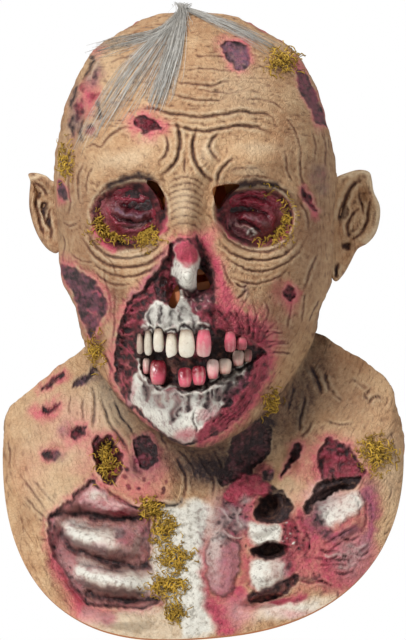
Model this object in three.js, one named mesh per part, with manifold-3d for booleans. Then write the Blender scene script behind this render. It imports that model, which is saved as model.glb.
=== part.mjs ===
// A full-head latex zombie mask with a chest bib, in millimetres. +Z is up and the face looks along -Y.
// The origin is on the inside of the crown, where the mask hangs on the wearer's head.
import * as THREE from "three";
import { ParametricGeometry } from "three/addons/geometries/ParametricGeometry.js";
import { mergeVertices } from "three/addons/utils/BufferGeometryUtils.js";
import Module from "manifold-3d";

// Driving sizes of the cast shell
const headWidth = 191; // across the temples, without the ears
const headDepth = 227; // forehead to back of head
const faceHeight = 302; // crown to the underside of the chin
const bustWidth = 275; // across the shoulders
const chestForward = 31; // how far the front hem stands before the throat
const backBehind = 18; // how far the back hem stands behind the nape
const bibDrop = 107; // throat to the front hem
const shoulderDrop = 70; // side of the neck to the hem on the shoulder
const backDrop = 128; // nape to the back hem
const wall = 2.6; // latex thickness
const reliefDepth = 20; // depth of an eye socket, which the face's relief is told in
const fleshDepth = 12; // depth of an open wound, which the bib's relief is told in
const clearance = 0.35; // between the skin and what is glued to it

// Driving sizes of what is on the shell
const earThickness = 6;
const toothDepth = 18; // front to back
const toothProud = 3.4; // how far a tooth stands out of the gum
const eyeLumpHeight = 7.5; // above the floor of the socket
const mossHeight = 5.5; // above the skin
const hairHeight = 2.6; // above the scalp

// Mesh fineness
const columns = 52; // round the head
const frontShare = 0.62; // under 1 sets the columns closer together on the face
const innerStep = 3; // outer rows for each row inside

const halfWidth = headWidth / 2;
const halfDepth = headDepth / 2;
const crownTop = wall;

const { smoothstep, degToRad, clamp, lerp } = THREE.MathUtils;

// Turns rows of numbers into objects, so that each column is read by its name.
function table(names, rows) {
  return rows.map((row) => Object.fromEntries(names.map((name, i) => [name, row[i]])));
}

// Sections of the head and neck, crown first. A section is a closed loop through a front, a side and a back
// point. Widths are shares of half the head's width, front, sideBack and back of half its depth, and drops
// of the face's height. A form of 2 is an ellipse, more is squarer and less more pointed.
const headSections = table(
  ["front", "frontDrop", "side", "sideBack", "sideDrop", "back", "backDrop",
    "frontForm", "backForm", "shift", "rows"],
  [
    [-0.09, 0.0, 0.0, 0.09, 0.0, 0.09, 0.0, 2, 2, -0.04, 1], // crown
    [0.16, 0.01, 0.27, 0.1, 0.01, 0.33, 0.01, 2, 2, -0.04, 1],
    [0.39, 0.042, 0.46, 0.1, 0.038, 0.56, 0.042, 2, 2, -0.035, 2],
    [0.62, 0.095, 0.72, 0.1, 0.088, 0.78, 0.1, 2.1, 2, -0.02, 2],
    [0.81, 0.174, 0.87, 0.1, 0.171, 0.92, 0.174, 2.2, 2, -0.02, 2], // forehead
    [0.92, 0.267, 0.963, 0.1, 0.263, 0.995, 0.26, 2.27, 2, -0.02, 3],
    [0.96, 0.353, 1.0, 0.1, 0.35, 1.0, 0.34, 2.35, 2, -0.015, 4], // brow
    [0.935, 0.44, 1.0, 0.1, 0.432, 0.96, 0.413, 2.35, 2, -0.015, 4], // eyes
    [0.935, 0.532, 0.985, 0.115, 0.515, 0.87, 0.486, 2.2, 2, -0.01, 4], // cheekbones
    [0.95, 0.638, 0.965, 0.125, 0.605, 0.77, 0.552, 2.05, 2, 0.0, 4], // nose base
    [0.98, 0.744, 0.9, 0.14, 0.658, 0.68, 0.615, 1.8, 2, 0.01, 4], // lips
    [1.0, 0.856, 0.868, 0.16, 0.691, 0.62, 0.66, 1.52, 2, 0.01, 4], // jaw
    [0.98, 0.957, 0.855, 0.175, 0.714, 0.58, 0.695, 1.4, 2, 0.005, 2], // chin
    [0.88, 1.002, 0.845, 0.175, 0.724, 0.57, 0.71, 1.4, 2, 0.005, 1],
    [0.66, 1.0, 0.835, 0.16, 0.731, 0.565, 0.725, 1.5, 2, 0.02, 1], // under the chin
    [0.46, 1.005, 0.835, 0.125, 0.737, 0.565, 0.742, 1.7, 2, 0.07, 1],
    [0.415, 1.06, 0.86, 0.09, 0.747, 0.58, 0.777, 1.9, 2, 0.1, 1], // throat
  ],
);
const throat = headSections[headSections.length - 1];

// Sections of the bib, below the throat. Each value is the share of the way from the throat to the hem, but
// shift is a share of half the head's width, and lean tips the front hem down towards -X by that slope.
const bibSections = table(
  ["wide", "forward", "frontDrop", "level", "sideDrop", "behind", "backDrop",
    "frontForm", "backForm", "shift", "lean", "rows"],
  [
    [0.35, 0.16, 0.19, 0.2, 0.2, 0.33, 0.16, 2.0, 2.0, 0.125, 0.0, 2], // collar
    [0.7, 0.48, 0.4, 0.4, 0.42, 0.67, 0.42, 2.1, 2.1, 0.115, 0.02, 3],
    [0.92, 0.81, 0.66, 0.6, 0.66, 0.89, 0.68, 2.25, 2.2, 0.045, 0.05, 3], // chest
    [0.985, 0.97, 0.887, 0.8, 0.88, 1.0, 0.89, 2.4, 2.3, 0.045, 0.07, 1],
    [1.0, 1.0, 1.0, 1.0, 1.0, 1.0, 1.0, 2.5, 2.3, 0.045, 0.075, 0], // hem
  ],
);

// One loop of the shell, in millimetres: y and z of its front, side and back points and its half width.
function headLoop(row) {
  return {
    front: -row.front * halfDepth,
    side: row.sideBack * halfDepth,
    back: row.back * halfDepth,
    frontZ: crownTop - row.frontDrop * faceHeight,
    sideZ: crownTop - row.sideDrop * faceHeight,
    backZ: crownTop - row.backDrop * faceHeight,
    half: row.side * halfWidth,
    shift: row.shift * halfWidth,
    lean: 0,
    frontForm: row.frontForm,
    backForm: row.backForm,
    rows: row.rows,
  };
}

function bibLoop(row) {
  const from = headLoop(throat);
  return {
    front: from.front - row.forward * chestForward,
    side: from.side * (1 - row.level),
    back: from.back + row.behind * backBehind,
    frontZ: from.frontZ - row.frontDrop * bibDrop,
    sideZ: from.sideZ - row.sideDrop * shoulderDrop,
    backZ: from.backZ - row.backDrop * backDrop,
    half: lerp(from.half, bustWidth / 2, row.wide),
    shift: row.shift * halfWidth,
    lean: row.lean,
    frontForm: row.frontForm,
    backForm: row.backForm,
    rows: row.rows,
  };
}

const loops = [...headSections.map(headLoop), ...bibSections.map(bibLoop)];
const hem = loops.length - 1;
const tipRound = 0.35; // blunts the point of a loop whose form is under 2
const chinLoop = headSections.length - 5; // the last loop that carries the face's relief
const throatLoop = headSections.length - 1;

// A smooth curve through one column of the loops, at loop number s.
function between(column, s) {
  const i = clamp(Math.floor(s), 0, hem - 1);
  const [a, b, c, d] = [i - 1, i, i + 1, i + 2].map((k) => loops[clamp(k, 0, hem)][column]);
  const t = s - i;
  return b + 0.5 * t * (c - a + t * (2 * a - 5 * b + 4 * c - d + t * (3 * (b - c) + d - a)));
}

// The plain shell without relief. angle is 0 at the front and grows towards +X.
function plainPoint(angle, s, target = new THREE.Vector3()) {
  const ahead = Math.cos(angle);
  const form = between(ahead > 0 ? "frontForm" : "backForm", s);
  const blunt = Math.max(2 - form, 0) * tipRound;
  const aside = Math.hypot(Math.sin(angle), blunt) / Math.hypot(1, blunt);
  const reach = (aside ** form + Math.abs(ahead) ** form) ** (-1 / form);
  const along = Math.abs(ahead) * reach;
  const end = ahead > 0 ? "front" : "back";
  const across = between("shift", s) + between("half", s) * Math.sin(angle) * reach;
  const side = between("side", s);
  const sideZ = between("sideZ", s) + (ahead > 0 ? between("lean", s) * across * along : 0);
  return target.set(
    across,
    side + (between(end, s) - side) * along,
    sideZ + (between(end + "Z", s) - between("sideZ", s)) * along,
  );
}

function plainNormal(angle, s) {
  if (s === 0) {
    return new THREE.Vector3(0, 0, 1);
  }
  const step = 0.02;
  const low = Math.min(s, hem - step) - step;
  const high = low + 2 * step;
  const round = plainPoint(angle + step, s).sub(plainPoint(angle - step, s));
  const down = plainPoint(angle, high).sub(plainPoint(angle, low));
  return down.cross(round).normalize();
}

// Relief of the face, seen from the front. x and across are shares of half the head's width, drop and down of
// the face's height, rise of the relief depth. flat is how much of the form is level, and turn is in degrees.
const faceRelief = table(
  ["x", "drop", "across", "down", "turn", "rise", "flat"],
  [
    [-0.46, 0.35, 0.36, 0.055, -8, 0.3, 0], // brow over one eye
    [0.38, 0.345, 0.4, 0.055, 6, 0.3, 0],
    [-0.17, 0.33, 0.12, 0.06, 15, 0.2, 0], // folds between the brows
    [0.06, 0.34, 0.12, 0.07, -15, 0.2, 0],
    [-0.47, 0.472, 0.275, 0.088, 0, -1.0, 0.5], // eye sockets
    [0.4, 0.472, 0.3, 0.086, -8, -1.0, 0.5],
    [-0.07, 0.4, 0.17, 0.1, 0, 0.45, 0], // nose
    [-0.07, 0.475, 0.16, 0.075, 0, 0.6, 0],
    [-0.05, 0.61, 0.24, 0.1, 0, -0.75, 0.35], // open nose hole
    [-0.075, 0.57, 0.12, 0.085, 0, 0.85, 0.3], // bone of the nose
    [-0.075, 0.612, 0.12, 0.045, 0, 0.85, 0.2], // its round tip
    [0.055, 0.66, 0.1, 0.035, 0, 0.7, 0.2], // dark gristle beside it
    [-0.76, 0.575, 0.3, 0.07, 15, 0.35, 0], // cheekbones
    [0.66, 0.57, 0.3, 0.07, -15, 0.35, 0],
    [-0.72, 0.72, 0.2, 0.1, -12, -0.4, 0], // hollow cheeks
    [0.66, 0.71, 0.2, 0.1, 12, -0.3, 0],
    [-0.1, 0.7, 0.36, 0.065, 0, 0.45, 0.2], // upper jaw
    [-0.02, 0.797, 0.43, 0.062, 0, -0.55, 0.72], // open mouth
    [0.36, 0.85, 0.12, 0.03, 20, 0.3, 0.2], // gum under the back teeth
    [-0.1, 0.93, 0.42, 0.075, 0, 0.3, 0.1], // bare lower jaw
    [-0.49, 0.76, 0.09, 0.12, -8, -0.4, 0.3], // torn flesh beside the mouth
    [0.33, 0.93, 0.09, 0.09, 30, 0.2, 0.2], // strip of flesh over the jaw
    [0.22, 0.095, 0.15, 0.045, -30, -0.25, 0.3], // wounds of the scalp
    [-0.33, 0.265, 0.09, 0.02, 0, -0.2, 0.2],
    [-0.86, 0.27, 0.1, 0.1, -15, -0.35, 0.2],
    [0.87, 0.2, 0.1, 0.1, 20, -0.35, 0.2],
    [0.72, 0.435, 0.05, 0.045, -25, -0.25, 0], // slit at the temple
    [0.62, 0.63, 0.07, 0.035, 0, -0.3, 0], // hole in the cheek
    [-0.79, 0.68, 0.1, 0.1, 12, -0.35, 0.4], // rot along the other cheek
  ],
);

// Relief of the bib, seen from the front. x and across are shares of half the bust's width, drop and down of
// the bib's drop below the throat, rise of the flesh depth.
const bibRelief = table(
  ["x", "drop", "across", "down", "turn", "rise", "flat"],
  [
    [-0.22, -0.02, 0.15, 0.27, 25, 0.6, 0.5], // hanging flap of neck skin
    [-0.455, 0.5, 0.31, 0.43, 0, -0.9, 0.75], // torn window over the ribs
    [-0.46, 0.17, 0.22, 0.06, -6, 0.7, 0.3], // ribs, top one first
    [-0.46, 0.4, 0.26, 0.12, -10, 1.15, 0.2],
    [-0.42, 0.64, 0.25, 0.115, -10, 1.15, 0.2],
    [-0.39, 0.87, 0.24, 0.08, -8, 0.9, 0.2],
    [-0.04, 0.55, 0.13, 0.5, 0, 0.4, 0.4], // breastbone
    [0.11, 0.54, 0.09, 0.24, 4, 0.3, 0.6], // loose patch on it
    [0.35, 0.18, 0.075, 0.1, 0, -1.1, 0.4], // round hole
    [0.36, 0.45, 0.1, 0.06, 0, -1.0, 0.4], // slot under it
    [0.3, 0.31, 0.1, 0.07, 0, 0.5, 0.2], // bare rib ends
    [0.33, 0.6, 0.13, 0.11, 0, 0.6, 0.2],
    [0.34, 0.77, 0.16, 0.05, 10, -0.8, 0.3], // lower slot
    [0.69, -0.06, 0.15, 0.13, 20, -0.4, 0.5], // wound of the shoulder
    [0.68, 0.09, 0.14, 0.06, 22, -1.1, 0.3],
    [0.74, 0.27, 0.13, 0.11, 28, 0.6, 0.2], // rib below it
    [0.25, -0.19, 0.1, 0.17, 30, -0.7, 0.4], // dark wound beside the throat
    [0.465, -0.13, 0.045, 0.11, 25, -0.6, 0.1], // cleft
    [-0.44, -0.12, 0.07, 0.15, 10, -0.6, 0.5], // wound that holds moss
    [-0.28, -0.1, 0.06, 0.13, 15, -0.5, 0.3],
    [-0.72, -0.42, 0.06, 0.06, 0, -0.35, 0.2], // small wounds of the shoulder
    [-0.68, -0.17, 0.07, 0.07, 0, -0.35, 0.2],
    [-0.61, -0.3, 0.05, 0.05, 30, -0.3, 0.2],
  ],
);

// The height that a table of relief gives at one point of the front view.
function heightFrom(rows, x, drop, unitX, unitDrop) {
  let height = 0;
  for (const form of rows) {
    const dx = (x - form.x) * unitX;
    const dz = (form.drop - drop) * unitDrop;
    const turn = degToRad(form.turn);
    const across = (dx * Math.cos(turn) + dz * Math.sin(turn)) / (form.across * unitX);
    const up = (dz * Math.cos(turn) - dx * Math.sin(turn)) / (form.down * unitDrop);
    height += form.rise * (1 - smoothstep(Math.hypot(across, up), form.flat, 1));
  }
  return height;
}

const throatZ = headLoop(throat).frontZ;

// Relief at a point of the shell: how far it stands towards -Y.
function relief(angle, s) {
  const point = plainPoint(angle, s);
  const facing = smoothstep(-plainNormal(angle, s).y, 0.08, 0.4);
  if (Math.cos(angle) < 0 || facing === 0) {
    return 0;
  }
  const onFace = 1 - smoothstep(s, chinLoop, chinLoop + 1);
  const onBib = smoothstep(s, throatLoop - 1, throatLoop);
  const face = onFace && heightFrom(
    faceRelief, point.x / halfWidth, (crownTop - point.z) / faceHeight, halfWidth, faceHeight,
  );
  const bib = onBib && heightFrom(
    bibRelief, (2 * point.x) / bustWidth, (throatZ - point.z) / bibDrop, bustWidth / 2, bibDrop,
  );
  return facing * (onFace * face * reliefDepth + onBib * bib * fleshDepth);
}

// The reliefs at and round a point of the shell.
function reliefsNear(angle, s, angleReach, rowReach) {
  const steps = [-1, -0.5, 0, 0.5, 1];
  return steps.flatMap((i) => steps.map((j) =>
    relief(angle + i * angleReach, clamp(s + j * rowReach, 0, hem))));
}

// The inside of a slush casting is smoother than the outside: it follows the lowest relief nearby.
function innerRelief(angle, s) {
  return Math.min(...reliefsNear(angle, s, (2 * Math.PI * frontShare) / columns, 0.55));
}

// The outside grown by the clearance, off its steep walls too.
function roomyRelief(angle, s) {
  return Math.max(...reliefsNear(angle, s, (1.5 * clearance) / halfWidth, 0.05));
}

// The loop numbers of the outer rows, and those of the sparser rows inside, from the hem up.
const outerRows = loops.flatMap((loop, i) =>
  Array.from({ length: loop.rows }, (_, k) => i + k / loop.rows)).concat(hem);
const innerCount = Math.round(outerRows.length / innerStep);
const innerRows = Array.from({ length: innerCount + 1 }, (_, k) => {
  const place = (outerRows.length - 1) * (1 - k / innerCount);
  const i = Math.min(Math.floor(place), outerRows.length - 2);
  return lerp(outerRows[i], outerRows[i + 1], place - i);
});

// The angle of a column, u running from 0 to 1 round the head from the seam at the back.
function angleAt(u) {
  const across = 2 * u - 1;
  return Math.PI * across * (frontShare + (1 - frontShare) * across * across);
}

// The cast shell as one closed surface: down the outside, round the hem and up the inside.
function shellGeometry() {
  const rows = outerRows.length + innerRows.length - 1;
  const pointAt = (u, v, target) => {
    const angle = angleAt(u);
    const k = Math.round(v * rows);
    const inside = k >= outerRows.length;
    const s = inside ? innerRows[k - outerRows.length] : outerRows[k];
    plainPoint(angle, s, target);
    target.addScaledVector(plainNormal(angle, s), inside ? -wall : 0);
    target.y -= inside ? innerRelief(angle, s) : relief(angle, s);
  };
  return new ParametricGeometry(pointAt, columns, rows);
}

// A body without a hollow: down the given rows at a distance from the plain shell, then closed under the bib.
function filledGeometry(rows, distance, reliefAt) {
  const pointAt = (u, v, target) => {
    const angle = angleAt(u);
    const k = Math.round(v * rows.length);
    if (k === rows.length) {
      target.set(0, 0, throatZ - shoulderDrop / 2);
      return;
    }
    plainPoint(angle, rows[k], target).addScaledVector(plainNormal(angle, rows[k]), distance);
    target.y -= reliefAt(angle, rows[k]);
  };
  return new ParametricGeometry(pointAt, columns, rows.length);
}

// A closed geometry as a solid for joining and cutting.
const wasm = await Module();
wasm.setup();
const mergeWithin = 1e-3;

function solidOf(geometry) {
  const bare = geometry.clone();
  bare.deleteAttribute("normal");
  bare.deleteAttribute("uv");
  const merged = mergeVertices(bare, mergeWithin);
  const corners = merged.index.array;
  const kept = [];
  for (let i = 0; i < corners.length; i += 3) {
    const [a, b, c] = corners.slice(i, i + 3);
    if (a !== b && b !== c && c !== a) {
      kept.push(a, b, c);
    }
  }
  const solid = new wasm.Manifold(new wasm.Mesh({
    numProp: 3,
    vertProperties: merged.attributes.position.array,
    triVerts: new Uint32Array(kept),
  }));
  if (solid.volume() > 0) {
    return solid;
  }
  return new wasm.Manifold(new wasm.Mesh({
    numProp: 3,
    vertProperties: merged.attributes.position.array,
    triVerts: new Uint32Array(kept.reverse()),
  }));
}

function geometryOf(solid) {
  const made = solid.getMesh();
  const geometry = new THREE.BufferGeometry();
  geometry.setAttribute("position", new THREE.Float32BufferAttribute(made.vertProperties, 3));
  geometry.setIndex([...made.triVerts]);
  geometry.computeVertexNormals();
  return geometry;
}

function largestOf(solid) {
  return solid.decompose().sort((a, b) => b.volume() - a.volume())[0];
}

// Places in the front view, in millimetres
const faceX = (share) => share * halfWidth;
const faceZ = (drop) => crownTop - drop * faceHeight;
const bibX = (share) => (share * bustWidth) / 2;
const bibZ = (drop) => throatZ - drop * bibDrop;

const shell = solidOf(shellGeometry());
const hollow = solidOf(filledGeometry(innerRows.toReversed(), -wall / 2, innerRelief));
const keepOut = solidOf(filledGeometry(outerRows, clearance, roomyRelief));

// What the front of the shell is like behind a point of the front view.
const keepOutMesh = new THREE.Mesh(
  geometryOf(keepOut),
  new THREE.MeshBasicMaterial({ side: THREE.DoubleSide }),
);
const forward = new THREE.Vector3(0, 1, 0);

function seatAt(x, z) {
  const start = new THREE.Vector3(x, -headDepth, z);
  const [hit] = new THREE.Raycaster(start, forward).intersectObject(keepOutMesh);
  return hit && { point: hit.point, normal: hit.face.normal.clone() };
}

// Ears, each an upright dish with a rolled rim, cast on the side of the head. out is the place of its middle
// in shares of half the head's width. wide and high are half sizes in shares of the face's height. taper is
// how much narrower the lobe is, turn is in degrees and sweep is how far the rim goes back.
const ears = table(
  ["hand", "out", "drop", "wide", "high", "taper", "turn", "sweep"],
  [
    [-1, 1.035, 0.457, 0.05, 0.092, 0.25, 16, 0.8],
    [1, 1.1, 0.485, 0.06, 0.12, 0.3, 12, 0.4],
  ],
);
const earForm = 2.4;
const earRoot = 0.13; // behind the middle of the head, as a share of half its depth
const rimRoll = 0.8; // of the ear's thickness
const conchDip = 0.9;

function earGeometry(ear) {
  const turn = degToRad(ear.turn);
  const pointAt = (u, v, target) => {
    const angle = 2 * Math.PI * u;
    const front = v < 0.5; // up the front to the rim, then down the back
    const radius = front ? 2 * v : 2 - 2 * v;
    const square = Math.abs(Math.cos(angle)) ** earForm + Math.abs(Math.sin(angle)) ** earForm;
    const form = square ** (-1 / earForm);
    const up = Math.sin(angle) * form * radius;
    const width = ear.wide * (1 + ear.taper * up) * faceHeight;
    const outward = Math.cos(angle) * form * radius * width;
    const height = up * ear.high * faceHeight;
    const rim = smoothstep(radius, 0.45, 0.85);
    const dish = rimRoll * rim - conchDip * (1 - rim) * (1 - radius);
    const lift = front ? dish : -Math.sqrt(Math.max(1 - radius * radius, 0));
    const out = outward * Math.cos(turn) + height * Math.sin(turn);
    target.set(
      ear.hand * (ear.out * halfWidth + out),
      earRoot * halfDepth + ear.sweep * (out + (ear.out - 1) * halfWidth) - lift * earThickness,
      faceZ(ear.drop) + height * Math.cos(turn) - outward * Math.sin(turn),
    );
  };
  return new ParametricGeometry(pointAt, 14, 10);
}

// Holes cut through the shell: a seeing gap beside each eye and the two nose holes. Each is a ring of corners
// in the front view, in the face's shares.
const holes = {
  seeingLeft: [[-0.37, 0.39], [-0.28, 0.395], [-0.23, 0.43], [-0.24, 0.46], [-0.28, 0.425], [-0.33, 0.405]],
  seeingRight: [[0.13, 0.402], [0.3, 0.4], [0.22, 0.425], [0.15, 0.455], [0.12, 0.43]],
  noseLeft: [[-0.14, 0.625], [-0.125, 0.65], [-0.16, 0.675], [-0.195, 0.665]],
  noseRight: [[0.01, 0.59], [0.06, 0.6], [0.09, 0.628], [0.03, 0.635], [0.0, 0.63]],
};

function holeCutter(corners) {
  const outline = new THREE.Shape(corners.map(([x, drop]) => new THREE.Vector2(faceX(x), faceZ(drop))));
  const cutter = new THREE.ExtrudeGeometry(outline, { depth: headDepth, bevelEnabled: false });
  cutter.rotateX(Math.PI / 2);
  return solidOf(cutter);
}

function latexSkin() {
  let skin = shell;
  for (const ear of ears) {
    skin = skin.add(solidOf(earGeometry(ear)).subtract(hollow)); // its root ends in the wall
  }
  for (const corners of Object.values(holes)) {
    skin = skin.subtract(holeCutter(corners));
  }
  return largestOf(skin);
}

// Withered eyes, each a lump on the floor of its socket.
const eyeLumps = table(
  ["name", "x", "drop", "across", "down"],
  [
    ["eye_lump_left", -0.46, 0.452, 0.15, 0.036],
    ["eye_lump_right", 0.41, 0.458, 0.16, 0.036],
  ],
);

// A round lump seated on the skin and cut to its shape. size is its half width, depth and height.
function seatedLump(x, z, size, lumps, segments) {
  const seat = seatAt(x, z);
  const geometry = new THREE.SphereGeometry(1, segments, Math.round(segments * 0.6));
  const position = geometry.attributes.position;
  const corner = new THREE.Vector3();
  for (let i = 0; i < position.count; i += 1) {
    corner.fromBufferAttribute(position, i);
    const swell = 1 + lumps * Math.sin(5 * corner.x + x) * Math.cos(4 * corner.z + z) * (1 - corner.z ** 4);
    corner.multiplyScalar(swell).multiply(new THREE.Vector3(...size));
    position.setXYZ(i, corner.x, corner.y, corner.z);
  }
  const outward = seat.normal.clone().sub(forward).normalize(); // halfway to the wearer's front
  const turned = new THREE.Quaternion().setFromUnitVectors(new THREE.Vector3(0, -1, 0), outward);
  geometry.applyQuaternion(turned);
  geometry.translate(seat.point.x, seat.point.y, seat.point.z);
  return largestOf(solidOf(geometry).subtract(keepOut));
}

// Teeth, each in the place it shows. wide and high are shares of the face's height, and jaw is 1 in the upper
// jaw and -1 in the lower one.
const teeth = table(
  ["name", "x", "drop", "wide", "high", "jaw"],
  [
    ["upper_tooth_1", -0.404, 0.763, 0.0155, 0.048, 1],
    ["upper_tooth_2", -0.346, 0.761, 0.0175, 0.058, 1],
    ["upper_tooth_3", -0.272, 0.755, 0.0225, 0.052, 1],
    ["upper_tooth_4", -0.18, 0.767, 0.024, 0.049, 1],
    ["upper_tooth_5", -0.074, 0.762, 0.0355, 0.063, 1],
    ["upper_tooth_6", 0.048, 0.761, 0.033, 0.06, 1],
    ["upper_tooth_7", 0.235, 0.758, 0.0235, 0.045, 1],
    ["upper_tooth_8", 0.313, 0.762, 0.0235, 0.03, 1],
    ["lower_tooth_1", -0.357, 0.813, 0.0155, 0.036, -1],
    ["lower_tooth_2", -0.275, 0.828, 0.0355, 0.052, -1],
    ["lower_tooth_3", -0.083, 0.838, 0.03, 0.042, -1],
    ["lower_tooth_4", 0.013, 0.834, 0.031, 0.042, -1],
    ["lower_tooth_5", 0.11, 0.819, 0.026, 0.044, -1],
    ["lower_tooth_6", 0.196, 0.813, 0.029, 0.035, -1],
    ["lower_tooth_7", 0.292, 0.795, 0.023, 0.034, -1],
    ["lower_tooth_8", 0.362, 0.789, 0.017, 0.029, -1],
  ],
);
const toothForm = 0.42; // under 1 squares a tooth's section
const rootExtra = 0.024; // of the face's height, hidden in the gum

function toothSolid(tooth) {
  const geometry = new THREE.SphereGeometry(1, 8, 5);
  geometry.rotateX(Math.PI / 2);
  geometry.rotateZ(Math.PI / 8);
  const position = geometry.attributes.position;
  const square = (value) => Math.sign(value) * Math.abs(value) ** toothForm;
  const high = ((tooth.high + rootExtra) * faceHeight) / 2;
  const wide = (tooth.wide * faceHeight) / 2;
  const middle = faceZ(tooth.drop) + (tooth.jaw * rootExtra * faceHeight) / 2;
  const gum = seatAt(faceX(tooth.x), faceZ(tooth.drop) + tooth.jaw * high);
  const front = gum.point.y - toothProud;
  for (let i = 0; i < position.count; i += 1) {
    const up = square(position.getZ(i));
    const taper = 1 - 0.1 * smoothstep(up * tooth.jaw, -1, 1);
    position.setXYZ(
      i,
      faceX(tooth.x) + square(position.getX(i)) * wide * taper,
      front + (toothDepth / 2) * (1 + square(position.getY(i))),
      middle + up * high,
    );
  }
  return largestOf(solidOf(geometry).subtract(keepOut));
}

// Clumps of moss. x, drop, across and down are shares of the face's or the bib's sizes, high of mossHeight.
const mossOnFace = table(
  ["name", "x", "drop", "across", "down", "high"],
  [
    ["moss_scalp", 0.6, 0.12, 0.13, 0.035, 1],
    ["moss_temple", -0.93, 0.352, 0.08, 0.034, 1],
    ["moss_eye_left", -0.56, 0.505, 0.13, 0.028, 1.2],
    ["moss_eye_left_inner", -0.33, 0.525, 0.09, 0.02, 1.2],
    ["moss_eye_right", 0.53, 0.49, 0.13, 0.045, 1.2],
    ["moss_jaw_left", -0.71, 0.77, 0.07, 0.035, 1],
    ["moss_jaw_right", 0.52, 0.885, 0.08, 0.03, 1],
  ],
);
const mossOnBib = table(
  ["name", "x", "drop", "across", "down", "high"],
  [
    ["moss_wound_left", -0.44, -0.11, 0.065, 0.13, 1.7],
    ["moss_shoulder_right", 0.88, -0.16, 0.08, 0.11, 1],
    ["moss_chest_1", -0.22, 0.17, 0.06, 0.06, 1.1],
    ["moss_chest_2", -0.165, 0.33, 0.065, 0.1, 1.1],
    ["moss_chest_3", -0.11, 0.5, 0.08, 0.08, 1.1],
    ["moss_chest_4", -0.14, 0.67, 0.11, 0.08, 1.1],
    ["moss_chest_5", -0.1, 0.88, 0.05, 0.09, 1.1],
  ],
);

// Hair, glued down at the crown in flat locks. Each path is a chain of places in the front view.
const hairLocks = [
  {
    name: "hair_tuft_crown",
    wide: [0.03, 0.05, 0.04],
    path: [[-0.11, 0.014], [-0.1, 0.035], [-0.1, 0.06]],
  },
  {
    name: "hair_lock_front",
    wide: [0.03, 0.1, 0.14, 0.1],
    path: [[-0.11, 0.07], [-0.16, 0.11], [-0.22, 0.165], [-0.25, 0.23]],
  },
  {
    name: "hair_lock_left",
    wide: [0.04, 0.06, 0.05, 0.02],
    path: [[-0.17, 0.042], [-0.29, 0.062], [-0.48, 0.078], [-0.68, 0.1]],
  },
  {
    name: "hair_lock_right",
    wide: [0.04, 0.05, 0.05, 0.02],
    path: [[-0.02, 0.032], [0.12, 0.038], [0.32, 0.062], [0.5, 0.095]],
  },
  {
    name: "hair_wisp_left",
    wide: [0.03, 0.07, 0.06, 0.02],
    path: [[-0.4, 0.13], [-0.52, 0.19], [-0.67, 0.25], [-0.8, 0.31]],
  },
];

function hairSolid(lock) {
  const places = lock.path.map(([x, drop]) => seatAt(faceX(x), faceZ(drop)));
  const curve = new THREE.CatmullRomCurve3(places.map((seat) => seat.point));
  const lifts = new THREE.CatmullRomCurve3(places.map((seat) => seat.normal));
  const corners = lock.wide.map((wide, i) => new THREE.Vector3(wide * halfWidth, i, 0));
  const widths = new THREE.CatmullRomCurve3(corners);
  const pointAt = (u, v, target) => {
    const along = 0.02 + 0.96 * v;
    const end = Math.sqrt(Math.max(1 - (2 * v - 1) ** 8, 0));
    const up = lifts.getPoint(along).normalize();
    const across = curve.getTangent(along).cross(up).normalize();
    const round = 2 * Math.PI * u;
    target.copy(curve.getPoint(v));
    target.addScaledVector(across, Math.cos(round) * widths.getPoint(v).x * end);
    target.addScaledVector(up, Math.sin(round) * hairHeight * end);
  };
  return largestOf(solidOf(new ParametricGeometry(pointAt, 7, 8)).subtract(keepOut));
}

// Finishes, as they show in the photograph
const latex = new THREE.MeshStandardMaterial({ color: 0xb08a66, roughness: 0.62, metalness: 0 });
const rawEye = new THREE.MeshStandardMaterial({ color: 0x6b2a34, roughness: 0.3, metalness: 0 });
const enamel = new THREE.MeshStandardMaterial({ color: 0xd9d2c0, roughness: 0.32, metalness: 0 });
const moss = new THREE.MeshStandardMaterial({ color: 0x9a8422, roughness: 0.95, metalness: 0 });
const hair = new THREE.MeshStandardMaterial({ color: 0xa9a49c, roughness: 0.6, metalness: 0 });

const mask = new THREE.Group();
mask.name = "zombie_mask";

// A solid with its shape worked out, so that later joins and cuts don't work it out again.
function settled(solid) {
  return new wasm.Manifold(solid.getMesh());
}

// A glued piece grown on all sides by the clearance.
function roomOf(solid) {
  const { min, max } = solid.boundingBox();
  const middle = min.map((low, i) => (low + max[i]) / 2);
  const growth = min.map((low, i) => 1 + (2 * clearance) / (max[i] - low));
  return settled(solid.translate(middle.map((value) => -value)).scale(growth).translate(middle));
}

function boxesMeet(one, other) {
  const a = one.boundingBox();
  const b = other.boundingBox();
  return a.min.every((low, i) => low < b.max[i] && b.min[i] < a.max[i]);
}

// Adds one piece, cut back from the glued pieces before it where they would touch.
const rooms = [];

function place(name, solid, material) {
  const near = rooms.filter((room) => boxesMeet(room, solid));
  const apart = settled(largestOf(near.reduce((left, room) => left.subtract(room), solid)));
  const mesh = new THREE.Mesh(geometryOf(apart), material);
  mesh.name = name;
  mask.add(mesh);
  rooms.push(roomOf(apart));
}

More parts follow.
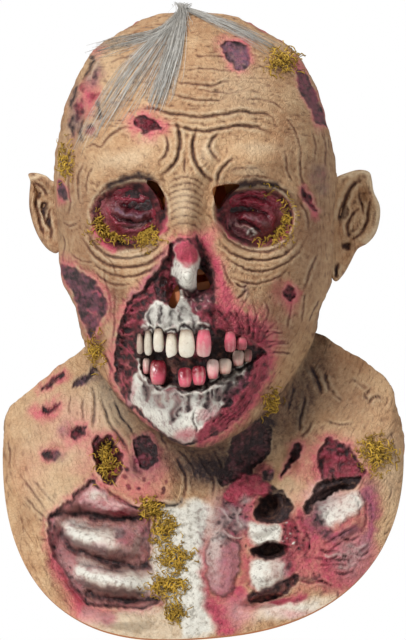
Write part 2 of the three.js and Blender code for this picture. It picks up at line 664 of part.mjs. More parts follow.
place("latex_skin", latexSkin(), latex);
rooms.pop(); // the glued pieces are already cut to the skin
for (const lump of eyeLumps) {
  const size = [lump.across * halfWidth, eyeLumpHeight, lump.down * faceHeight];
  place(lump.name, seatedLump(faceX(lump.x), faceZ(lump.drop), size, 0.06, 12), rawEye);
}
for (const tooth of teeth) {
  place(tooth.name, toothSolid(tooth), enamel);
}
for (const clump of mossOnFace) {
  const size = [clump.across * halfWidth, clump.high * mossHeight, clump.down * faceHeight];
  place(clump.name, seatedLump(faceX(clump.x), faceZ(clump.drop), size, 0.2, 8), moss);
}
for (const clump of mossOnBib) {
  const size = [(clump.across * bustWidth) / 2, clump.high * mossHeight, clump.down * bibDrop];
  place(clump.name, seatedLump(bibX(clump.x), bibZ(clump.drop), size, 0.2, 8), moss);
}
for (const lock of hairLocks) {
  place(lock.name, hairSolid(lock), hair);
}

export default mask;
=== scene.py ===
import math

import bpy
import numpy as np
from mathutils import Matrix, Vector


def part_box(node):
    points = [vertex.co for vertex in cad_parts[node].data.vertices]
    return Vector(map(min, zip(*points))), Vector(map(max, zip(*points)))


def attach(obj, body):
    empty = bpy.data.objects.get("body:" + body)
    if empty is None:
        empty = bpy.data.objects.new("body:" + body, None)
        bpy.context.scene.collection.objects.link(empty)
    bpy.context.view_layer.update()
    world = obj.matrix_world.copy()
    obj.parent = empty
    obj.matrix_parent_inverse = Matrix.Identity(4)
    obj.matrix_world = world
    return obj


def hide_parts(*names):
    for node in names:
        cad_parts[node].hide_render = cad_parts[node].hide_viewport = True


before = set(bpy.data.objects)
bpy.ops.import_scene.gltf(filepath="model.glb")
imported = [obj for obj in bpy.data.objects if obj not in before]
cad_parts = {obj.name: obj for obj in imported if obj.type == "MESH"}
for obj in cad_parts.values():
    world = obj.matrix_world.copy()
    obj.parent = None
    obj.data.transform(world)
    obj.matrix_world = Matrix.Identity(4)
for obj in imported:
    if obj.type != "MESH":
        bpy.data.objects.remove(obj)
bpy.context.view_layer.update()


# The mask hangs in front of plain white paper and is lit softly, mostly from its right and above, which is
# the left of the picture. A long lens looks straight at the face. The floor lies well under the bib.
mm = 0.001
squares = 0.68  # millimetres in one square of the front view, in which small places are told
view_middle = (4.1, -209.2)  # across and up, in millimetres
view_height = 435.2
lens_to_face = 6000.0


def linear(hex_colour):
    """sRGB hex to linear: the value over 12.92 when small, otherwise ((value + 0.055) / 1.055) to the 2.4."""
    parts = [int(hex_colour[i:i + 2], 16) / 255 for i in (1, 3, 5)]
    parts = [p / 12.92 if p <= 0.04045 else ((p + 0.055) / 1.055) ** 2.4 for p in parts]
    return (*parts, 1.0)


def node(tree, kind, inputs=(), **settings):
    """Adds one shader node, or takes one that is there, and sets it. inputs maps a socket's name or number to
    a value, to another node's output, or to a node, whose first output is meant. Mix has its share at 0 and
    its colours at 6 and 7. MapRange has its value at 0, that value's two ends at 1 and 2, and what they
    become at 3 and 4."""
    made = tree.nodes.new("ShaderNode" + kind) if isinstance(kind, str) else kind
    for name, value in settings.items():
        setattr(made, name, value)
    for name, value in dict(inputs).items():
        value = value.outputs[0] if isinstance(value, bpy.types.Node) else value
        if isinstance(value, bpy.types.NodeSocket):
            tree.links.new(value, made.inputs[name])
        else:
            made.inputs[name].default_value = value
    return made


scene = bpy.context.scene
scene.view_settings.view_transform = "Standard"
camera_data = bpy.data.cameras.new("camera")
camera_data.sensor_fit = "VERTICAL"
camera_data.sensor_height = 24.0
camera_data.lens = 24.0 * lens_to_face / view_height
camera = bpy.data.objects.new("camera", camera_data)
camera.location = (view_middle[0] * mm, (-50 - lens_to_face) * mm, view_middle[1] * mm)
camera.rotation_euler = (math.pi / 2, 0, 0)
scene.collection.objects.link(camera)
scene.camera = camera

# The camera sees white paper, and the mask gets a fainter glow from it.
world = bpy.data.worlds.new("paper_white")
scene.world = world
world.use_nodes = True
tree = world.node_tree
tree.nodes.clear()
paper = node(tree, "Background", {"Color": linear("#FFFFFF"), "Strength": 1.0})
glow = node(tree, "Background", {"Color": linear("#FDFCFA"), "Strength": 0.34})
both = node(tree, "MixShader", {0: node(tree, "LightPath").outputs["Is Camera Ray"], 1: glow, 2: paper})
node(tree, "OutputWorld", {"Surface": both})

lamps = [  # name, place in metres, width, power in watts
    ("key", (-1.15, -1.6, 0.75), 0.45, 36.0),
    ("fill", (1.6, -1.5, 0.1), 1.2, 5.0),
    ("top", (0.1, -0.5, 1.5), 0.8, 12.0),
]
for name, place, width, power in lamps:
    lamp_data = bpy.data.lights.new(name, "AREA")
    lamp_data.energy = power
    lamp_data.size = width
    lamp = bpy.data.objects.new(name, lamp_data)
    lamp.location = place
    aim = np.array((0.0, 0.0, -0.2)) - np.array(place)  # the middle of the mask
    lamp.rotation_euler = (math.acos(-aim[2] / np.linalg.norm(aim)), 0, math.atan2(-aim[0], aim[1]))
    scene.collection.objects.link(lamp)


def started(name, **values):
    """A new material with values on its shader, its node tree, its shader and the places on its piece."""
    material = bpy.data.materials.new(name)
    material.use_nodes = True
    tree = material.node_tree
    settings = {key.replace("_", " "): value for key, value in values.items()}
    shader = node(tree, tree.nodes["Principled BSDF"], settings)
    return material, tree, shader, node(tree, "TexCoord").outputs["Object"]


floor_radius, floor_height, corners = 1.3, -0.58, 96  # metres
turn = np.linspace(0, 2 * np.pi, corners, endpoint=False)
rim = np.stack([floor_radius * np.cos(turn), floor_radius * np.sin(turn), 0 * turn + floor_height], 1)
floor_mesh = bpy.data.meshes.new("floor")
floor_mesh.from_pydata(rim.tolist(), [], [list(range(corners))])
floor = bpy.data.objects.new("floor", floor_mesh)
scene.collection.objects.link(floor)
# White emulsion on board: matt and nearly white.
floor_mesh.materials.append(started("painted_board", Base_Color=linear("#F4F3F1"), Roughness=0.9)[0])


# The cast shell. It is slush-cast latex, about 2.6 mm thick, and its plain form is a stack of closed loops
# down the head and out over the bib. Sizes are those of the CAD, in millimetres.
head_width, head_depth, face_height = 191, 227, 302
bust_width, chest_forward, back_behind = 275, 31, 18
bib_drop, shoulder_drop, back_drop = 107, 70, 128
wall, relief_depth, flesh_depth = 2.6, 20, 12
half_width, half_depth, crown_top, tip_round = head_width / 2, head_depth / 2, wall, 0.35
chin_loop, throat_loop, hem = 12, 16, 21

head_sections = np.array([  # front, its drop, side, side back, its drop, back, its drop, forms, shift
    [-0.09, 0.0, 0.0, 0.09, 0.0, 0.09, 0.0, 2, 2, -0.04],
    [0.16, 0.01, 0.27, 0.1, 0.01, 0.33, 0.01, 2, 2, -0.04],
    [0.39, 0.042, 0.46, 0.1, 0.038, 0.56, 0.042, 2, 2, -0.035],
    [0.62, 0.095, 0.72, 0.1, 0.088, 0.78, 0.1, 2.1, 2, -0.02],
    [0.81, 0.174, 0.87, 0.1, 0.171, 0.92, 0.174, 2.2, 2, -0.02],
    [0.92, 0.267, 0.963, 0.1, 0.263, 0.995, 0.26, 2.27, 2, -0.02],
    [0.96, 0.353, 1.0, 0.1, 0.35, 1.0, 0.34, 2.35, 2, -0.015],
    [0.935, 0.44, 1.0, 0.1, 0.432, 0.96, 0.413, 2.35, 2, -0.015],
    [0.935, 0.532, 0.985, 0.115, 0.515, 0.87, 0.486, 2.2, 2, -0.01],
    [0.95, 0.638, 0.965, 0.125, 0.605, 0.77, 0.552, 2.05, 2, 0.0],
    [0.98, 0.744, 0.9, 0.14, 0.658, 0.68, 0.615, 1.8, 2, 0.01],
    [1.0, 0.856, 0.868, 0.16, 0.691, 0.62, 0.66, 1.52, 2, 0.01],
    [0.98, 0.957, 0.855, 0.175, 0.714, 0.58, 0.695, 1.4, 2, 0.005],
    [0.88, 1.002, 0.845, 0.175, 0.724, 0.57, 0.71, 1.4, 2, 0.005],
    [0.66, 1.0, 0.835, 0.16, 0.731, 0.565, 0.725, 1.5, 2, 0.02],
    [0.46, 1.005, 0.835, 0.125, 0.737, 0.565, 0.742, 1.7, 2, 0.07],
    [0.415, 1.06, 0.86, 0.09, 0.747, 0.58, 0.777, 1.9, 2, 0.1],
])
bib_sections = np.array([  # wide, forward, front drop, level, side drop, behind, back drop, forms, shift, lean
    [0.35, 0.16, 0.19, 0.2, 0.2, 0.33, 0.16, 2.0, 2.0, 0.125, 0.0],
    [0.7, 0.48, 0.4, 0.4, 0.42, 0.67, 0.42, 2.1, 2.1, 0.115, 0.02],
    [0.92, 0.81, 0.66, 0.6, 0.66, 0.89, 0.68, 2.25, 2.2, 0.045, 0.05],
    [0.985, 0.97, 0.887, 0.8, 0.88, 1.0, 0.89, 2.4, 2.3, 0.045, 0.07],
    [1.0, 1.0, 1.0, 1.0, 1.0, 1.0, 1.0, 2.5, 2.3, 0.045, 0.075],
])
h, b = head_sections.T, bib_sections.T
throat_z = crown_top - h[1, -1] * face_height
loops = {
    "front": [*(-h[0] * half_depth), *(-h[0, -1] * half_depth - b[1] * chest_forward)],
    "front_z": [*(crown_top - h[1] * face_height), *(throat_z - b[2] * bib_drop)],
    "half": [*(h[2] * half_width), *(h[2, -1] * half_width * (1 - b[0]) + bust_width / 2 * b[0])],
    "side": [*(h[3] * half_depth), *(h[3, -1] * half_depth * (1 - b[3]))],
    "side_z": [*(crown_top - h[4] * face_height),
        *(crown_top - h[4, -1] * face_height - b[4] * shoulder_drop)],
    "back": [*(h[5] * half_depth), *(h[5, -1] * half_depth + b[5] * back_behind)],
    "back_z": [*(crown_top - h[6] * face_height), *(crown_top - h[6, -1] * face_height - b[6] * back_drop)],
    "front_form": [*h[7], *b[7]], "back_form": [*h[8], *b[8]],
    "shift": [*(h[9] * half_width), *(b[9] * half_width)], "lean": [*(0 * h[9]), *b[10]],
}
loops = {name: np.array(values, float) for name, values in loops.items()}


def eased(value, low, high):
    """0 below low, 1 above high, and t * t * (3 - 2 t) between them, t being the share of the way."""
    t = np.clip((value - low) / (high - low), 0, 1)
    return t * t * (3 - 2 * t)


def between(name, s):
    """A value of the loops at loop number s: the Catmull-Rom cubic through the four nearest loops."""
    i = np.clip(np.floor(s).astype(int), 0, hem - 1)
    p, q, r, u = (loops[name][np.clip(i + k, 0, hem)] for k in (-1, 0, 1, 2))
    t = s - i
    return q + 0.5 * t * (r - p + t * (2 * p - 5 * q + 4 * r - u + t * (3 * (q - r) + u - p)))


def unit(vectors):
    """Each vector over its own length."""
    return vectors / np.maximum(np.linalg.norm(vectors, axis=-1, keepdims=True), 1e-9)


def plain_shell(angle, s):
    """The shell without relief: a superellipse through the loop's front, side and back points, blunted where
    its power is under 2. The angle is 0 at the front and grows towards +X."""
    ahead = np.cos(angle)
    front = ahead > 0
    form = np.where(front, between("front_form", s), between("back_form", s))
    blunt = np.maximum(2 - form, 0) * tip_round
    aside = np.hypot(np.sin(angle), blunt) / np.hypot(1, blunt)
    reach = (aside ** form + np.abs(ahead) ** form) ** (-1 / form)
    along = np.abs(ahead) * reach
    x = between("shift", s) + between("half", s) * np.sin(angle) * reach
    side, side_z = between("side", s), between("side_z", s)
    end = np.where(front, between("front", s), between("back", s))
    end_z = np.where(front, between("front_z", s), between("back_z", s))
    y = side + (end - side) * along
    z = side_z + np.where(front, between("lean", s) * x * along, 0) + (end_z - side_z) * along
    return np.stack([x, y, z], -1)


def plain_normal(angle, s):
    """The cross product of the steps down and round the plain shell; straight up at the crown."""
    step = 0.02
    low = np.minimum(s, hem - step) - step
    round_step = plain_shell(angle + step, s) - plain_shell(angle - step, s)
    down_step = plain_shell(angle, low + 2 * step) - plain_shell(angle, low)
    return np.where((s == 0)[..., None], np.array([0.0, 0.0, 1.0]), unit(np.cross(down_step, round_step)))


# Sculpted relief of the face and the bib, as the clay it was cast from had it. x and across are shares of
# the half width, drop and down of the height, rise of the relief's depth; then how flat, and the turn.
face_relief = [  # x, drop, across, down, turn, rise, flat
    (-0.46, 0.35, 0.36, 0.055, -8, 0.3, 0), (0.38, 0.345, 0.4, 0.055, 6, 0.3, 0),
    (-0.17, 0.33, 0.12, 0.06, 15, 0.2, 0), (0.06, 0.34, 0.12, 0.07, -15, 0.2, 0),
    (-0.47, 0.472, 0.275, 0.088, 0, -1.0, 0.5), (0.4, 0.472, 0.3, 0.086, -8, -1.0, 0.5),
    (-0.07, 0.4, 0.17, 0.1, 0, 0.45, 0), (-0.07, 0.475, 0.16, 0.075, 0, 0.6, 0),
    (-0.05, 0.61, 0.24, 0.1, 0, -0.75, 0.35), (-0.075, 0.57, 0.12, 0.085, 0, 0.85, 0.3),
    (-0.075, 0.612, 0.12, 0.045, 0, 0.85, 0.2), (0.055, 0.66, 0.1, 0.035, 0, 0.7, 0.2),
    (-0.76, 0.575, 0.3, 0.07, 15, 0.35, 0), (0.66, 0.57, 0.3, 0.07, -15, 0.35, 0),
    (-0.72, 0.72, 0.2, 0.1, -12, -0.4, 0), (0.66, 0.71, 0.2, 0.1, 12, -0.3, 0),
    (-0.1, 0.7, 0.36, 0.065, 0, 0.45, 0.2), (-0.02, 0.797, 0.43, 0.062, 0, -0.55, 0.72),
    (0.36, 0.85, 0.12, 0.03, 20, 0.3, 0.2), (-0.1, 0.93, 0.42, 0.075, 0, 0.3, 0.1),
    (-0.49, 0.76, 0.09, 0.12, -8, -0.4, 0.3), (0.33, 0.93, 0.09, 0.09, 30, 0.2, 0.2),
    (0.22, 0.095, 0.15, 0.045, -30, -0.25, 0.3), (-0.33, 0.265, 0.09, 0.02, 0, -0.2, 0.2),
    (-0.86, 0.27, 0.1, 0.1, -15, -0.35, 0.2), (0.87, 0.2, 0.1, 0.1, 20, -0.35, 0.2),
    (0.72, 0.435, 0.05, 0.045, -25, -0.25, 0), (0.62, 0.63, 0.07, 0.035, 0, -0.3, 0),
    (-0.79, 0.68, 0.1, 0.1, 12, -0.35, 0.4),
]
bib_relief = [
    (-0.22, -0.02, 0.15, 0.27, 25, 0.6, 0.5), (-0.455, 0.5, 0.31, 0.43, 0, -0.9, 0.75),
    (-0.46, 0.17, 0.22, 0.06, -6, 0.7, 0.3), (-0.46, 0.4, 0.26, 0.12, -10, 1.15, 0.2),
    (-0.42, 0.64, 0.25, 0.115, -10, 1.15, 0.2), (-0.39, 0.87, 0.24, 0.08, -8, 0.9, 0.2),
    (-0.04, 0.55, 0.13, 0.5, 0, 0.4, 0.4), (0.11, 0.54, 0.09, 0.24, 4, 0.3, 0.6),
    (0.35, 0.18, 0.075, 0.1, 0, -1.1, 0.4), (0.36, 0.45, 0.1, 0.06, 0, -1.0, 0.4),
    (0.3, 0.31, 0.1, 0.07, 0, 0.5, 0.2), (0.33, 0.6, 0.13, 0.11, 0, 0.6, 0.2),
    (0.34, 0.77, 0.16, 0.05, 10, -0.8, 0.3), (0.69, -0.06, 0.15, 0.13, 20, -0.4, 0.5),
    (0.68, 0.09, 0.14, 0.06, 22, -1.1, 0.3), (0.74, 0.27, 0.13, 0.11, 28, 0.6, 0.2),
    (0.25, -0.19, 0.1, 0.17, 30, -0.7, 0.4), (0.465, -0.13, 0.045, 0.11, 25, -0.6, 0.1),
    (-0.44, -0.12, 0.07, 0.15, 10, -0.6, 0.5), (-0.28, -0.1, 0.06, 0.13, 15, -0.5, 0.3),
    (-0.72, -0.42, 0.06, 0.06, 0, -0.35, 0.2), (-0.68, -0.17, 0.07, 0.07, 0, -0.35, 0.2),
    (-0.61, -0.3, 0.05, 0.05, 30, -0.3, 0.2),
]


def ellipse(dx, dy, half_wide, half_high, turned):
    """Distance from a middle in an ellipse turned by that many degrees: 1 on its edge."""
    cos, sin = math.cos(math.radians(turned)), math.sin(math.radians(turned))
    return np.hypot((dx * cos + dy * sin) / half_wide, (dy * cos - dx * sin) / half_high)


def height_from(rows, x, drop, unit_x, unit_drop):
    """The sum of each row's rise times 1 - eased(r, flat, 1), r being the distance in its turned ellipse."""
    height = 0 * x
    for form_x, form_drop, across, down, angle, rise, flat in rows:
        r = ellipse((x - form_x) * unit_x, (form_drop - drop) * unit_drop,
                    across * unit_x, down * unit_drop, angle)
        height += rise * (1 - eased(r, flat, 1))
    return height


def sculpted(angle, s):
    """How far the relief stands towards -Y: its height times how squarely the plain shell faces the front."""
    point = plain_shell(angle, s)
    facing = eased(-plain_normal(angle, s)[..., 1], 0.08, 0.4) * (np.cos(angle) >= 0)
    on_face = 1 - eased(s, chin_loop, chin_loop + 1)
    on_bib = eased(s, throat_loop - 1, throat_loop)
    x, z = point[..., 0], point[..., 2]
    face = height_from(face_relief, x / half_width, (crown_top - z) / face_height, half_width, face_height)
    bib = height_from(bib_relief, 2 * x / bust_width, (throat_z - z) / bib_drop, bust_width / 2, bib_drop)
    return facing * (on_face * face * relief_depth + on_bib * bib * flesh_depth)


# The small forms and the paint. They are laid down on sheets that cover the front view in half squares: one
# set for the head, one for the bib that passes behind the jaw, and one for the withered eyes.
fine = 2  # cells to a square
left, top, sheet_wide, sheet_high = -10, -14, 428, 668
across_cells = (left + (np.arange(sheet_wide * fine) + 0.5) / fine)[None, :]
down_cells = (top + (np.arange(sheet_high * fine) + 0.5) / fine)[:, None]
sheet_shape = (sheet_high * fine, sheet_wide * fine)
paints = ("dark", "brown", "pale", "blush", "raw", "purple", "bone")
face, chest, tissue = ({name: np.zeros(sheet_shape, np.float32) for name in ("height", *paints)}
                       for _ in range(3))


def softened(values, along, across=None, turned=0):
    """values spread by a Gaussian of that many cells along and across a turned direction, worked out as a
    product of Fourier transforms."""
    fy, fx = np.fft.fftfreq(values.shape[0])[:, None], np.fft.rfftfreq(values.shape[1])[None, :]
    cos, sin = math.cos(math.radians(turned)), math.sin(math.radians(turned))
    u, v = along * (fx * cos + fy * sin), (across or along) * (fy * cos - fx * sin)
    return np.fft.irfft2(np.fft.rfft2(values) * np.exp(-2 * np.pi ** 2 * (u ** 2 + v ** 2)), values.shape)


def cloud(along, seed, shape=sheet_shape, across=None, turned=0):
    """Softened seeded noise over its own standard deviation."""
    made = softened(np.random.default_rng(seed).standard_normal(shape), along, across, turned)
    return made / made.std()


torn_x = across_cells + 1.1 * cloud(7, 1) + 0.6 * cloud(2.6, 2)
torn_y = down_cells + 1.1 * cloud(7, 3) + 0.6 * cloud(2.6, 4)
mottle = 0.5 + 0.28 * cloud(5, 5) + 0.2 * cloud(2, 6)


def smooth_line(points, closed=False, steps=5):
    """A Catmull-Rom curve through listed points, given as x,y pairs, cut into short straight steps."""
    p = np.reshape(np.array(points, float), (-1, 2))
    n = len(p)
    t = np.arange((n if closed else n - 1) * steps + (0 if closed else 1)) / steps
    i = np.floor(t).astype(int)
    t = (t - i)[:, None]
    pick = (lambda k: p[k % n]) if closed else (lambda k: p[np.clip(k, 0, n - 1)])
    a, b, c, d = pick(i - 1), pick(i), pick(i + 1), pick(i + 2)
    return b + 0.5 * t * (c - a + t * (2 * a - 5 * b + 4 * c - d + t * (3 * (b - c) + d - a)))


def measured(x, y, line, closed):
    """Distance from places to a line, and how far along it from 0 to 1. Inside a closed line, by the count of
    its crossings, the distance is below zero."""
    ends = np.roll(line, -1, 0) if closed else line[1:]
    starts = line if closed else line[:-1]
    nearest = np.full(x.shape, 1e9)
    share = np.zeros(x.shape)
    within = np.zeros(x.shape, bool)
    for k, ((x0, y0), (x1, y1)) in enumerate(zip(starts, ends)):
        dx, dy = x1 - x0, y1 - y0
        t = np.clip(((x - x0) * dx + (y - y0) * dy) / max(dx * dx + dy * dy, 1e-9), 0, 1)
        d = (x - x0 - t * dx) ** 2 + (y - y0 - t * dy) ** 2
        closer = d < nearest
        nearest[closer] = d[closer]
        share[closer] = ((k + t) / len(starts))[closer]
        if closed and y0 != y1:
            within ^= ((y0 > y) != (y1 > y)) & (x < dx * (y - y0) / dy + x0)
    distance = np.sqrt(nearest)
    return np.where(within, -distance, distance), share


def window(line, reach, torn=1.0):
    """The cells round a line as two slices, with the places of those cells, torn by that share."""
    (x0, y0), (x1, y1) = line.min(0) - reach, line.max(0) + reach
    rows = slice(max(int((y0 - top) * fine), 0), max(int((y1 - top) * fine) + 2, 1))
    cols = slice(max(int((x0 - left) * fine), 0), max(int((x1 - left) * fine) + 2, 1))
    x = across_cells[:, cols] * (1 - torn) + torn_x[rows, cols] * torn
    return (rows, cols), x, down_cells[rows] * (1 - torn) + torn_y[rows, cols] * torn


def lay(sheet, where, share, height, colours):
    """Adds share times height, and moves each paint towards its amount by share."""
    sheet["height"][where] += share * height
    for name, amount in colours.items():
        sheet[name][where] += (amount - sheet[name][where]) * np.clip(share, 0, 1)


def stroke(sheet, points, width, height=0.0, taper=0.15, **colours):
    """A soft line: e to the -(distance / width) squared, thinning to nothing at its two ends."""
    line = smooth_line(points)
    where, x, y = window(line, 3 * width + 2)
    distance, along = measured(x, y, line, False)
    ends = np.clip(np.minimum(along, 1 - along) / taper, 0.15, 1) if taper else 1
    lay(sheet, where, np.exp(-(distance / width) ** 2) * ends, height, colours)


def crease(sheet, width, depth, points, dark=0.75):
    """A fold line: a dark groove, e to the -(distance / width) squared, between two swells 2.6 widths away."""
    line = smooth_line(points)
    width *= 0.95
    where, x, y = window(line, 5 * width + 2, 0.35)
    distance, along = measured(x, y, line, False)
    ends = np.clip(np.minimum(along, 1 - along) / 0.25, 0.05, 1)
    groove = np.exp(-(distance / width) ** 2)
    swell = np.exp(-((distance - 2.6 * width) / (1.7 * width)) ** 2)
    sheet["height"][where] += 1.05 * depth * ends * (0.65 * swell - groove)
    # The groove is painted dark and brown, partly washed with dark paint and partly painted shade.
    lay(sheet, where, dark * ends * 0.16 * np.exp(-(distance / (0.8 * width)) ** 2), 0, {"dark": 1.0})
    lay(sheet, where, dark * ends * 0.8 * np.exp(-(distance / (1.7 * width)) ** 2), 0, {"brown": 1.0})


def patch(sheet, points, soft=1.5, height=0.0, lip=0.0, halo=0.0, halo_paint="blush", rim=0.0, torn=1.0,
          **colours):
    """An area inside a torn outline: 1 - eased(distance, -soft, soft). lip raises its border, halo spreads a
    paint round it and rim darkens its edge, each as e to the -(distance / reach) squared."""
    line = smooth_line(points, closed=True)
    where, x, y = window(line, 3 * halo + 3 * soft + 3, torn)
    distance, _ = measured(x, y, line, True)
    if halo:
        sheet[halo_paint][where] += (0.85 - sheet[halo_paint][where]) * 0.8 * np.exp(
            -(np.maximum(distance, 0) / halo) ** 2) * np.clip(mottle[where] + 0.4, 0, 1)
    lay(sheet, where, 1 - eased(distance, -soft, soft), height, colours)
    sheet["height"][where] += lip * np.exp(-((distance - soft) / 1.6) ** 2)
    if rim:
        lay(sheet, where, rim * np.exp(-(distance / 1.1) ** 2), 0, {"dark": 1.0})


def dab(sheet, x, y, half_wide, half_high, turned=0, height=0.0, soft=0.8, **colours):
    """A round area: 1 - eased(r, 1 - soft, 1), r being the distance in its turned ellipse."""
    box = np.array([[x - half_wide - half_high, y - half_high - half_wide],
                    [x + half_wide + half_high, y + half_high + half_wide]], float)
    where, cx, cy = window(box, 2)
    r = ellipse(cx - x, cy - y, half_wide, half_high, turned)
    lay(sheet, where, 1 - eased(r, 1 - soft, 1), height, colours)


def airbrushed_paint_and_shade(sheet, **areas):
    """Soft round areas of each paint. A row is the first five sizes of a dab, then how much paint."""
    for paint, rows in areas.items():
        for *place, amount in np.reshape(rows, (-1, 6)):
            dab(sheet, *place, soft=1.0, **{paint: amount})


def folded(along, across, turned, seed):
    """Fine wrinkles: noise softened along a turned ellipse, grooved where it crosses zero."""
    return np.exp(-(cloud(along, seed, across=across, turned=turned) / 0.24) ** 2)


def ringed(x, y, seed):
    """The same kind of wrinkles running round a middle: noise taken at its radius and its angle."""
    noise = cloud(2.6, seed, (400, 900))
    r = np.hypot(torn_x - x, (torn_y - y) * 1.08)
    turn = (np.arctan2(torn_y - y, torn_x - x) / (2 * np.pi) + 0.5) * 150
    i, j = np.minimum(2.0 * r, 398).astype(int), (turn * 2).astype(int) + 200
    made = softened(noise[i, j], 1.2)
    return np.exp(-(made / made.std() / 0.32) ** 2), np.exp(-((r - 46) / 15) ** 2)


level = folded(13, 2.0, 0, 80)
falling = folded(11, 2.0, 62, 81)
rising = folded(11, 2.0, -62, 82)
upright = folded(12, 2.2, 90, 83)
high_up = 1 - eased(torn_y, 128, 165)
right_side = eased(torn_x, 170, 200)
wrinkled = high_up * level + (1 - high_up) * (right_side * rising + (1 - right_side) * falling)
beside = np.clip(eased(-torn_x, -92, -72) + eased(torn_x, 300, 322), 0, 1)
wrinkled += beside * (upright - wrinkled) * 0.8
for x, y, seed in ((131, 213, 84), (253, 214, 85)):
    ring, near_eye = ringed(x, y, seed)
    wrinkled += near_eye * (ring - wrinkled)
face["height"] -= 0.6 * wrinkled * (0.4 + mottle)
in_neck = np.exp(-((torn_x - 185) / 95) ** 2) * (1 - eased(torn_y, 470, 510))
chest["height"] -= (0.5 * (0.4 + mottle) * np.where(torn_x < 190, falling, rising) * (1 - in_neck)
                    + 0.5 * upright * in_neck * eased(torn_x, 130, 165))


# The face is airbrushed: tan skin, paler on the brow and forehead, partly as painted highlight, browner on the
# cheeks, round the eyes and on the far side, partly as painted shade, with rose and purple bruises. Its folds
# are cut in the clay and painted dark and brown, partly washed with dark paint and partly painted shade.
airbrushed_paint_and_shade(
    face,
    pale=[125,160,44,17,-8,0.5, 150,142,22,12,0,0.35, 206,152,12,18,10,0.5, 258,150,34,10,4,0.4,
        250,172,30,7,0,0.35, 182,205,16,34,0,0.45, 78,205,14,30,0,0.1, 120,78,26,30,30,0.3,
        240,90,42,40,0,0.25, 130,255,34,12,5,0.4, 110,340,8,36,-8,0.2, 104,50,40,20,-30,0.3],
    brown=[316,215,26,100,4,0.95, 282,320,38,46,20,0.75, 114,296,24,34,0,0.95, 72,210,24,50,0,0.5,
        76,230,16,40,-8,0.35, 304,285,16,50,12,0.55, 262,300,44,30,0,0.3, 240,270,34,18,0,0.25,
        230,105,60,26,0,0.22, 290,150,24,60,0,0.3, 68,160,14,40,0,0.3, 258,400,26,30,40,0.5,
        330,160,16,60,0,0.3, 186,205,24,44,0,0.3, 92,330,24,50,-10,0.4, 262,310,60,60,10,0.45,
        220,100,90,50,0,0.18, 100,250,34,40,0,0.4, 188,205,22,40,0,0.35, 150,265,30,18,-20,0.4,
        128,215,46,42,0,0.45, 256,216,48,42,0,0.5, 250,245,50,14,0,0.3, 206,90,80,40,0,0.2,
        340,230,40,40,0,0.2],
    blush=[152,128,20,16,0,0.55, 235,42,30,14,0,0.5, 88,98,18,32,10,0.8, 98,50,16,12,-40,0.5,
        60,195,8,16,0,0.6, 290,300,17,26,0,0.6, 314,213,8,11,0,0.8, 210,235,14,14,0,0.6,
        112,360,8,28,-10,0.5, 300,62,10,22,-35,0.55, 321,118,10,20,0,0.6, 68,262,10,16,0,0.35,
        220,225,10,14,0,0.45, 240,330,30,14,0,0.5, 276,292,12,20,10,0.3],
    purple=[318,175,16,18,0,0.35, 245,290,8,12,0,0.3, 322,190,12,10,0,0.3, 95,75,14,22,20,0.6,
        75,120,14,34,8,0.65, 72,95,10,28,10,0.4],
)

